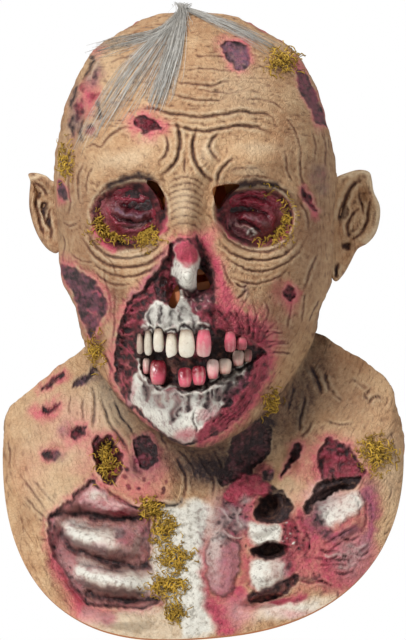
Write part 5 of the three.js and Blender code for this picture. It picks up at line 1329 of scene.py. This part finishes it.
# The ears are cast with the head. Each is a dished flap, rolled at the rim, that leans back as it stands out.
ears = {  # outline in squares, how far it leans back for each millimetre outwards
    "left": ([62,184, 56,180, 50,179, 44,174, 34,171, 26,172, 28,180, 27,192, 27,206, 30,220, 35,233, 41,243,
        48,250, 56,252, 64,240, 66,210], 0.8),
    "right": ([328,186, 333,179, 339,175, 346,172, 360,168, 371,170, 374,178, 376,190, 382,204, 382,218,
        378,232, 370,242, 361,247, 357,252, 352,262, 345,274, 337,281, 331,270, 326,230], 0.4),
}
rolled_forward, bulged_back = 6, 5  # millimetres
for name, (points, sweep) in ears.items():
    line = smooth_line(points, closed=True, steps=6)
    if np.sum(line[:, 0] * np.roll(line[:, 1], -1) - np.roll(line[:, 0], -1) * line[:, 1]) > 0:
        line = line[::-1]
    middle = line.mean(0)
    r = np.linspace(0.0, 1.0, 46)[:, None]
    px = middle[0] + (line[None, :, 0] - middle[0]) * r
    py = middle[1] + (line[None, :, 1] - middle[1]) * r
    base = 0.13 * half_depth + sweep * (np.abs(px - middle_line) * squares - half_width)
    rim = eased(r, 0.45, 0.85) * np.sqrt(np.maximum(1 - r ** 12, 0))
    dish = 0.8 * rim - 0.45 * (1 - eased(r, 0.45, 0.85)) * (1 - r)
    y_front = base - rolled_forward * dish - sampled(face["height"], px, py)
    y_back = base + bulged_back * np.sqrt(1 - r ** 2)
    front, back = placed(px, y_front, py), placed(px, y_back, py)
    front[-1, :, 1] = back[-1, :, 1] = base[-1]
    front[0, :, 1], back[0, :, 1] = front[0, :, 1].mean(), back[0, :, 1].mean()
    points = np.concatenate([front, back[::-1][1:]])
    values = {key: sampled(face[key], px, py) for key in paints}
    values = {key: np.concatenate([amount, amount[::-1][1:] * 0.3]) for key, amount in values.items()}
    values["brown"] = np.clip(values["brown"] + (0.35 if name == "left" else 0.1), 0, 1)
    new_piece("ear_" + name, points, grid_quads(len(points), len(line)), [], skin_latex,
              ["latex_skin"], values=values)


# Each socket holds a lump of withered tissue, cast separately and glued in: dark, wet-looking red folds that
# run across it like a closed fist.
for x, y, wide, high, turned, deep, colours in (
    (134, 210, 40, 34, 0, 0.0, dict(raw=0.9, dark=0.55, purple=0.35)),
    (252, 213, 42, 34, 0, 0.0, dict(raw=0.9, dark=0.55, purple=0.35)),
    (137, 216, 15, 8, 0, 1.6, dict(purple=0.75, raw=0.5, dark=0.05)),
    (250, 200, 19, 9, -6, 1.8, dict(raw=0.9, dark=0.1, blush=0.2)),
    (116, 198, 10, 6, -30, 0.8, dict(raw=0.9, blush=0.3, dark=0.2)),
    (157, 214, 8, 11, 0, 1.0, dict(raw=0.9, blush=0.35, dark=0.15)),
    (236, 229, 12, 10, 20, 1.4, dict(purple=0.7, pale=0.3, dark=0.15)),
    (272, 206, 8, 12, 10, 0.8, dict(raw=0.9, dark=0.3)),
    (120, 226, 12, 8, 20, 0.8, dict(raw=0.8, purple=0.5, dark=0.25)),
    (148, 230, 10, 8, -20, 0.8, dict(raw=0.9, purple=0.3, dark=0.2)),
):
    dab(tissue, x, y, wide, high, turned, deep, **colours)
for points, wide, tall, colours in (
    ([111,194, 125,188, 138,189, 150,196, 158,207], 2.4, 1.6, dict(raw=0.7, blush=0.75, dark=0.0)),
    ([112,202, 125,199, 140,201, 153,208], 1.8, 1.2, dict(raw=0.8, blush=0.35, dark=0.05)),
    ([113,207, 124,214, 138,219, 151,212], 3.0, 2.0, dict(purple=0.95, pale=0.6, raw=0.1, dark=0.0)),
    ([120,222, 134,227, 150,222], 2.4, 1.8, dict(purple=0.9, pale=0.5, raw=0.2, dark=0.05)),
    ([228,220, 242,226, 256,236], 2.8, 1.8, dict(purple=0.9, pale=0.5, raw=0.2, dark=0.05)),
    ([244,213, 256,219, 268,227], 2.4, 1.6, dict(purple=0.8, pale=0.4, raw=0.3, dark=0.05)),
    ([108,206, 112,216, 120,223, 132,226], 1.6, 1.2, dict(raw=0.7, blush=0.4, dark=0.0)),
    ([120,230, 132,233, 146,232, 156,225], 1.8, 1.2, dict(purple=0.5, blush=0.5, dark=0.0)),
    ([128,196, 136,195, 146,201], 1.3, 0.9, dict(blush=0.6, dark=0.0)),
    ([222,212, 232,201, 246,194, 259,192, 270,196, 278,207], 2.4, 1.7, dict(raw=0.9, blush=0.5, dark=0.0)),
    ([230,207, 244,203, 258,204, 270,209], 1.8, 1.1, dict(raw=0.9, blush=0.4, dark=0.05)),
    ([232,222, 244,227, 256,232], 1.6, 1.3, dict(purple=0.5, pale=0.5, dark=0.0)),
    ([240,216, 252,223, 262,230], 1.6, 1.2, dict(raw=0.6, blush=0.5, dark=0.0)),
    ([226,216, 230,228, 238,237, 248,240], 1.8, 1.2, dict(purple=0.4, blush=0.5, dark=0.0)),
    ([246,234, 252,232, 256,236, 251,239], 1.5, 1.2, dict(bone=0.8, dark=0.0, raw=0.0)),
    ([262,212, 270,218, 274,228], 1.6, 1.1, dict(raw=0.9, dark=0.1)),
):
    stroke(tissue, points, wide, tall, **colours)
for points, wide, deep in (
    ([118,205, 132,208, 146,207, 156,202], 3.0, 3.0), ([114,215, 126,221, 140,224, 154,218], 2.0, 2.4),
    ([108,200, 112,192, 124,184, 142,183], 2.6, 2.0), ([116,222, 128,228, 144,226, 154,218], 1.5, 1.5),
    ([110,212, 118,220, 126,223], 1.4, 1.3), ([228,213, 245,210, 260,213, 272,219], 3.0, 3.0),
    ([234,220, 248,224, 262,233], 2.0, 2.4), ([222,204, 232,193, 250,187, 268,189], 2.6, 2.0),
    ([236,224, 248,230, 254,238], 1.5, 1.5), ([228,222, 234,234, 244,240], 1.4, 1.3),
    ([244,220, 256,227, 262,236], 1.3, 1.3), ([126,193, 138,193, 148,199], 1.1, 0.9),
    ([240,198, 254,197, 266,201], 1.1, 0.9), ([150,222, 156,230, 152,238], 1.4, 1.2),
):
    crease(tissue, wide, deep, points, 0.95)
tissue["height"] += 0.3 * cloud(4, 70) + 0.2 * cloud(1.8, 71)
# Painted shade in dark in the hollows between the folds.
hollow = softened(tissue["height"], 4) - tissue["height"]
tissue["dark"] += (1 - tissue["dark"]) * np.clip(0.5 * hollow, 0, 0.8)

wet_tissue = painted_latex("painted_tissue_latex", gloss=0.25, base="#7A3A40", light="#A0525A", dark_paint_and_shade="#1E0F12")
eye_columns = 132
turn = np.linspace(0, 2 * np.pi, eye_columns, endpoint=False)[None, :]
for name, x, y, wide, high in (("left", 130, 213, 34, 31), ("right", 254, 214, 35, 30)):
    r = np.linspace(0, 1, 60)[:, None]
    px, py = x + wide * r * np.cos(turn), y + high * r * np.sin(turn) * -1
    height = 5.0 * (1 - r ** 2.4) - 2.6 * r ** 6 + sampled(tissue["height"], px, py) * (1 - r ** 8)
    y_front = softened(stands_at(px, py), 2) * r ** 2 + stands_at(px, py).mean() * (1 - r ** 2) - height
    front = placed(px, y_front, py)
    front[0] = front[0].mean(0)
    back = front[::-6].copy()
    back[..., 1] = front[-1, :, 1] + 5.0 * (1 - np.linspace(1, 0, len(back))[:, None] ** 2)
    back[-1] = back[-1].mean(0)
    points = np.concatenate([front, back[1:]])
    # The back, hidden in the socket, is painted wholly dark, as shade.
    hidden = np.ones((len(back) - 1, eye_columns))
    values = {key: np.concatenate([sampled(tissue[key], px, py), hidden * (key == "dark")]) for key in paints}
    new_piece("eye_tissue_" + name, points, grid_quads(len(points), eye_columns), [], wet_tissue,
              ["eye_lump_" + name], values=values)


# The teeth are cast one by one in hard resin and pushed into the gum, each a little tapered block with a
# rounded biting edge. They are darker and browner towards the root, and some are still painted with blood.
enamel = painted_latex("painted_tooth_resin", pore_depth=0.25, gloss=0.33,
                       base="#CFC4AC", light="#EDE7D8", dark_paint_and_shade="#5A4130")
# The last column is how much painted shade darkens a tooth all over, for those deep in the corners of the
# mouth.
teeth = {  # in squares: left, right, top, bottom; then how bloody, how pink and how dark
    "upper_tooth_1": (137, 144, 333, 354, 0.1, 0.1, 0.25),
    "upper_tooth_2": (144.6, 153, 330, 355.5, 0, 0, 0.15),
    "upper_tooth_3": (153.6, 164.6, 328, 352, 0, 0, 0.05), "upper_tooth_4": (166, 178, 333, 356.5, 0, 0, 0.0),
    "upper_tooth_5": (178.6, 195, 329, 357.5, 0, 0, 0.0),
    "upper_tooth_6": (196, 211.5, 329, 357, 0.35, 0.8, 0.0),
    "upper_tooth_7": (224, 236, 331, 352, 0.8, 1.0, 0.1),
    "upper_tooth_8": (235.8, 247, 337, 350, 0.9, 0.9, 0.25),
    "lower_tooth_1": (143, 150.5, 357.5, 374, 0.1, 0.5, 0.1),
    "lower_tooth_2": (150, 167, 360, 385, 1.0, 0.6, 0.15),
    "lower_tooth_3": (178, 192.5, 367, 387, 1.0, 0.5, 0.05),
    "lower_tooth_4": (192, 206, 365, 385, 1.0, 0.5, 0.05),
    "lower_tooth_5": (206.5, 219, 358.5, 379, 0.15, 0.5, 0.0),
    "lower_tooth_6": (218, 231.5, 358, 374, 0.05, 0.2, 0.05),
    "lower_tooth_7": (232, 244, 350, 366, 0.1, 0.3, 0.1),
    "lower_tooth_8": (243, 252, 348.5, 362, 0.5, 0.3, 0.5),
}
rings, sides, half_thick = 30, 40, 4.2  # the last in millimetres
turn = np.linspace(0, 2 * np.pi, sides, endpoint=False)[None, :]
for k, (name, (x0, x1, y0, y1, bloody, pink, shaded)) in enumerate(teeth.items()):
    box = np.array(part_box(name)) / mm
    upper = name.startswith("upper")
    front_y = box[0][1] - (0.8 if upper else 0.3)
    t = np.linspace(0, 1, rings)[:, None]  # from the root to the biting edge
    width = (x1 - x0) / 2 * squares * (0.6 + 0.4 * np.sin(np.pi * t ** 0.75 * 0.62)) * (1 - t ** 7) ** 0.33
    width *= np.clip(t / 0.04, 0.2, 1) ** 0.3
    deep = half_thick * (1 - 0.55 * t ** 1.5) * (1 - t ** 10) ** 0.3
    cx, sy = np.cos(turn), np.sin(turn)
    round_ = (np.abs(cx) ** 2.3 + np.abs(sy) ** 2.3) ** (-1 / 2.3)
    wobble = 1 + 0.025 * np.sin(3 * turn + k) * np.sin(5 * t + 2 * k)
    x = ((x0 + x1) / 2 - middle_line) * squares + width * cx * round_ * wobble
    y = front_y + half_thick + 1.2 * (1 - np.sin(np.pi * np.clip(t * 0.8 + 0.12, 0, 1))) - deep * sy * round_
    along = y1 - y0
    z_view = (y0 + along * t) if upper else (y1 - along * t)
    worn = (0.25 * np.sin(2.1 * turn + 1.7 * k) + (1.8 * np.cos(turn + 0.6) * (k == 3))
            + 1.2 * np.sin(3 * turn) * (k == 9)) * t ** 4
    z = view_top - (z_view + worn * (-1 if upper else 1)) * squares
    points = np.stack([x, y, z + 0 * x], -1)
    points[0], points[-1] = points[0].mean(0), points[-1].mean(0)
    if not upper:
        points = points[:, ::-1]
    root = np.clip(1 - t / 0.3, 0, 1) + 0 * turn
    streak = np.clip(0.5 + 0.5 * np.sin(5 * turn + 3 * k) * np.sin(2.3 * turn + k), 0, 1)
    rosy = pink * (0.6 + 0.6 * streak) * (0.5 + 0.5 * np.cos(np.pi * t)) + 0.5 * pink + bloody * streak
    # Each tooth is darker and browner towards its root, and darkened all over by its painted shade.
    values = {
        "brown": np.clip(0.55 * root + 0.15 * streak * (1 - t), 0, 1),
        "dark": np.clip(0.75 * root ** 2 + shaded, 0, 1),
        "raw": bloody * np.clip(eased(t, 0.25, 0.8) * (0.6 + streak), 0, 1),
        "bone": np.clip(0.3 * t * (1 - bloody) + 0 * turn, 0, 1),
        "blush": np.clip(rosy, 0, 1),
    }
    new_piece(name.replace("tooth", "enamel"), points, grid_quads(rings, sides)[:, :, ::-1], [], enamel,
              [name], values=values)


# Moss: dyed ochre and olive wool fibre, teased into curls and glued on in tufts with latex, mostly where the
# casting is open.
def fibre_material(name, dark, light, dust, scale, low, most, roughness):
    """Fibres from dark to light by their shade attribute, with dust where noise rises past low."""
    material, tree, shader, place = started(name, Roughness=roughness)
    shade = node(tree, "Attribute", attribute_name="shade").outputs["Fac"]
    colour = node(tree, "Mix", {0: shade, 6: linear(dark), 7: linear(light)}, data_type="RGBA").outputs[2]
    patchy = node(tree, "TexNoise", {"Vector": place, "Scale": scale, "Detail": 3})
    share = node(tree, "MapRange", {0: patchy, 1: low, 2: 0.7, 4: most})
    colour = node(tree, "Mix", {0: share, 6: colour, 7: linear(dust)}, data_type="RGBA").outputs[2]
    node(tree, shader, {"Base Color": colour})
    return material


# Dyed wool: matt, and each curl a little darker or lighter, with dust about every 1.4 mm.
moss_fibre = fibre_material("dyed_wool_fibre", "#6A4A14", "#EDC24A", "#A88A2C", 700, 0.45, 0.6, 0.85)


def fibres(name, paths, radius, material, nodes, shades):
    """Thin three-sided tubes along paths of shape (fibres, steps, 3), tapering to a point at both ends. The
    two side directions are found by crossing the path's own direction with a fixed slanting one."""
    n, steps, _ = paths.shape
    ahead = unit(np.gradient(paths, axis=1))
    aside = unit(np.cross(ahead, np.array([0.31, -0.87, 0.38])))
    around = (2 * np.pi * np.arange(3) / 3)[:, None]
    size = (radius[:, None] * np.sin(np.pi * np.linspace(0.06, 0.94, steps)) ** 0.35)[..., None, None]
    ring = aside[:, :, None] * np.cos(around) + np.cross(ahead, aside)[:, :, None] * np.sin(around)
    ring = paths[:, :, None] + size * ring
    f, t, k = np.meshgrid(np.arange(n), np.arange(steps - 1), np.arange(3), indexing="ij")
    at = (f * steps + t) * 3
    turned = (k + 1) % 3
    tube = np.stack([at + k, at + turned, at + 3 + turned, at + 3 + k], -1)
    first = np.arange(n) * steps * 3
    caps = np.concatenate([np.stack([first, first + 2, first + 1], -1),
                           np.stack([first, first + 1, first + 2], -1) + (steps - 1) * 3])
    values = {"shade": np.repeat(shades, steps * 3)}
    return new_piece(name, ring, tube, caps, material, nodes, values=values)


def surface_normal(px, py):
    """Which way the skin faces at places of the front view, from how stands_at changes across and up."""
    across = (stands_at(px + 3, py) - stands_at(px - 3, py)) / (6 * squares)
    up = (stands_at(px, py - 3) - stands_at(px, py + 3)) / (6 * squares)
    return unit(np.stack([np.clip(across, -3, 3), -1 + 0 * across, np.clip(up, -3, 3)], -1))


tufts = {  # in squares: x, y, half wide, half high, fibres, height in millimetres
    "moss_scalp": (281, 62, 17, 14, 300, 4.0), "moss_temple": (67, 162, 8, 17, 200, 3.5),
    "moss_eye_left": (116, 229, 21, 15, 900, 5.0), "moss_eye_left_inner": (148, 236, 12, 11, 420, 4.0),
    "moss_eye_right": (271, 221, 19, 21, 1150, 5.0), "moss_jaw_left": (97, 350, 8, 17, 200, 4.0),
    "moss_jaw_right": (270, 402, 9, 14, 160, 4.0), "moss_wound_left": (107, 462, 11, 21, 320, 5.0),
    "moss_shoulder_right": (375, 454, 17, 17, 340, 4.0), "moss_chest_1": (152, 508, 12, 10, 260, 4.5),
    "moss_chest_2": (164, 531, 13, 16, 320, 4.5), "moss_chest_3": (174, 558, 16, 13, 300, 4.5),
    "moss_chest_4": (168, 584, 20, 12, 340, 4.5), "moss_chest_5": (176, 610, 9, 12, 180, 4.5),
}
for k, (name, (x, y, wide, high, count, tall)) in enumerate(tufts.items()):
    chance = np.random.default_rng(100 + k)
    count = int(0.45 * count)
    place = chance.normal(0, 0.5, (count, 2))
    px, py = x + wide * place[:, 0], y + high * place[:, 1]
    out = surface_normal(px, py)
    start = placed(px, stands_at(px, py), py) + 0.2 * out
    spread = np.exp(-(place ** 2).sum(-1))
    t = np.linspace(0, 1, 9)[None, :, None]
    drift = unit(chance.normal(0, 1, (count, 1, 3)) * np.array([1.0, 0.25, 1.0]))
    length = chance.uniform(2.5, 8.0, (count, 1, 1))
    loop = chance.uniform(0.6, 1.7, (count, 1, 1))
    rate, phase = chance.uniform(4, 11, (count, 1, 1)), chance.uniform(0, 6.3, (count, 1, 1))
    sideways = np.cross(drift, out[:, None])
    rise = tall * (0.25 + 0.75 * spread[:, None, None]) * chance.uniform(0.2, 1.0, (count, 1, 1))
    away = out[:, None]
    paths = (start[:, None] + drift * length * (t - 0.5) + away * rise * (0.15 + 0.85 * np.sin(np.pi * t))
             + sideways * loop * np.sin(rate * t + phase) + away * loop * 0.5 * np.cos(rate * t + phase))
    # Each curl is lighter or darker at random, and darker the less it rises, as painted shade low in the tuft.
    fibres("tuft_" + name[5:], paths, chance.uniform(0.26, 0.55, count), moss_fibre, [name],
           chance.beta(1.6, 1.3, count) * (0.55 + 0.45 * rise[:, 0, 0] / tall))


# Grey hair: straight synthetic strands punched into the crown at one point and combed down over the forehead
# and to both sides, thin and greasy, with single strands straying.
# The synthetic fibre is satin, each strand its own shade between its lock's dark and light, dusty about every
# 4.5 mm.
grey_hair = fibre_material("grey_synthetic_hair", "#3A352F", "#D6D2CA", "#8A7C68", 220, 0.5, 0.35, 0.42)

locks = (  # name, node, strands, border paths in squares, bias to the borders, lift, seed, dark to light
    ("hair_front", "hair_lock_front", 180, [180,8, 175,26, 168,52, 159,78, 150,103],
     [185,9, 184,34, 179,60, 171,86, 163,112], 0.9, 1.9, 200, (0.25, 1.0)),
    ("hair_fan", "hair_wisp_left", 95, [178,9, 156,32, 124,64, 94,108, 70,152],
     [182,10, 172,38, 160,68, 146,94, 130,118], 1.0, 1.0, 201, (0.2, 0.95)),
    ("hair_left", "hair_lock_left", 80, [181,10, 168,24, 150,33, 124,39, 92,47],
     [183,14, 172,30, 154,40, 128,46, 96,52], 0.9, 1.0, 202, (0.2, 0.9)),
    ("hair_right", "hair_lock_right", 80, [186,6, 206,13, 230,23, 252,33, 276,44],
     [186,9, 206,19, 230,29, 252,39, 270,50], 0.9, 1.0, 203, (0.2, 0.85)),
    ("hair_root", "hair_tuft_crown", 90, [174,1, 177,6, 179,12, 179,18, 176,28],
     [192,3, 188,8, 186,14, 186,20, 189,30], 1.0, 2.4, 204, (0.2, 0.9)),
)
scalp_line = 17  # above this square the scalp turns away from the front
for name, replaced, count, one, other, bias, lift, seed, (dark, light) in locks:
    chance = np.random.default_rng(seed)
    steps = 15
    one, other = smooth_line(one, steps=3), smooth_line(other, steps=3)
    t = np.linspace(0, 1, steps)
    one, other = (np.stack([np.interp(t, np.linspace(0, 1, len(p)), p[:, i]) for i in (0, 1)], -1)
                  for p in (one, other))
    u = chance.beta(bias, bias, count)[:, None, None]
    view = one * (1 - u) + other * u
    reach = chance.uniform(0.55, 1.12, (count, 1))
    short = np.clip(t * reach, 0, 1) * (steps - 1)
    i = np.minimum(short.astype(int), steps - 2)
    part = (short - i)[..., None]
    rows = np.arange(count)[:, None]
    view = view[rows, i] * (1 - part) + view[rows, i + 1] * part
    wander = np.cumsum(chance.normal(0, 1, (count, steps, 2)), axis=1)
    wander = (wander + np.roll(wander, 1, 1) + np.roll(wander, -1, 1)) / 3
    sway = chance.normal(0, 1.0, (count, 1, 2)) * (0.4 + 2.6 * t)[None, :, None]
    view += wander * (0.15 + 0.75 * t ** 1.5)[None, :, None] + sway
    strand = np.repeat(chance.uniform(0, 1, (count, 1)), steps, 1)
    px, py = view[..., 0], view[..., 1]
    over = np.maximum(scalp_line - py, 0)
    out = surface_normal(px, np.maximum(py, scalp_line + 3))
    place = placed(px, stands_at(px, np.maximum(py, scalp_line)) + 1.5 * over, py)
    place += out * (0.25 + lift * strand * np.sin(np.pi * (0.15 + 0.75 * t)))[..., None]
    fibres(name, place, chance.uniform(0.1, 0.19, count), grey_hair, [replaced],
           dark + (light - dark) * chance.beta(1.4, 1.0, count))
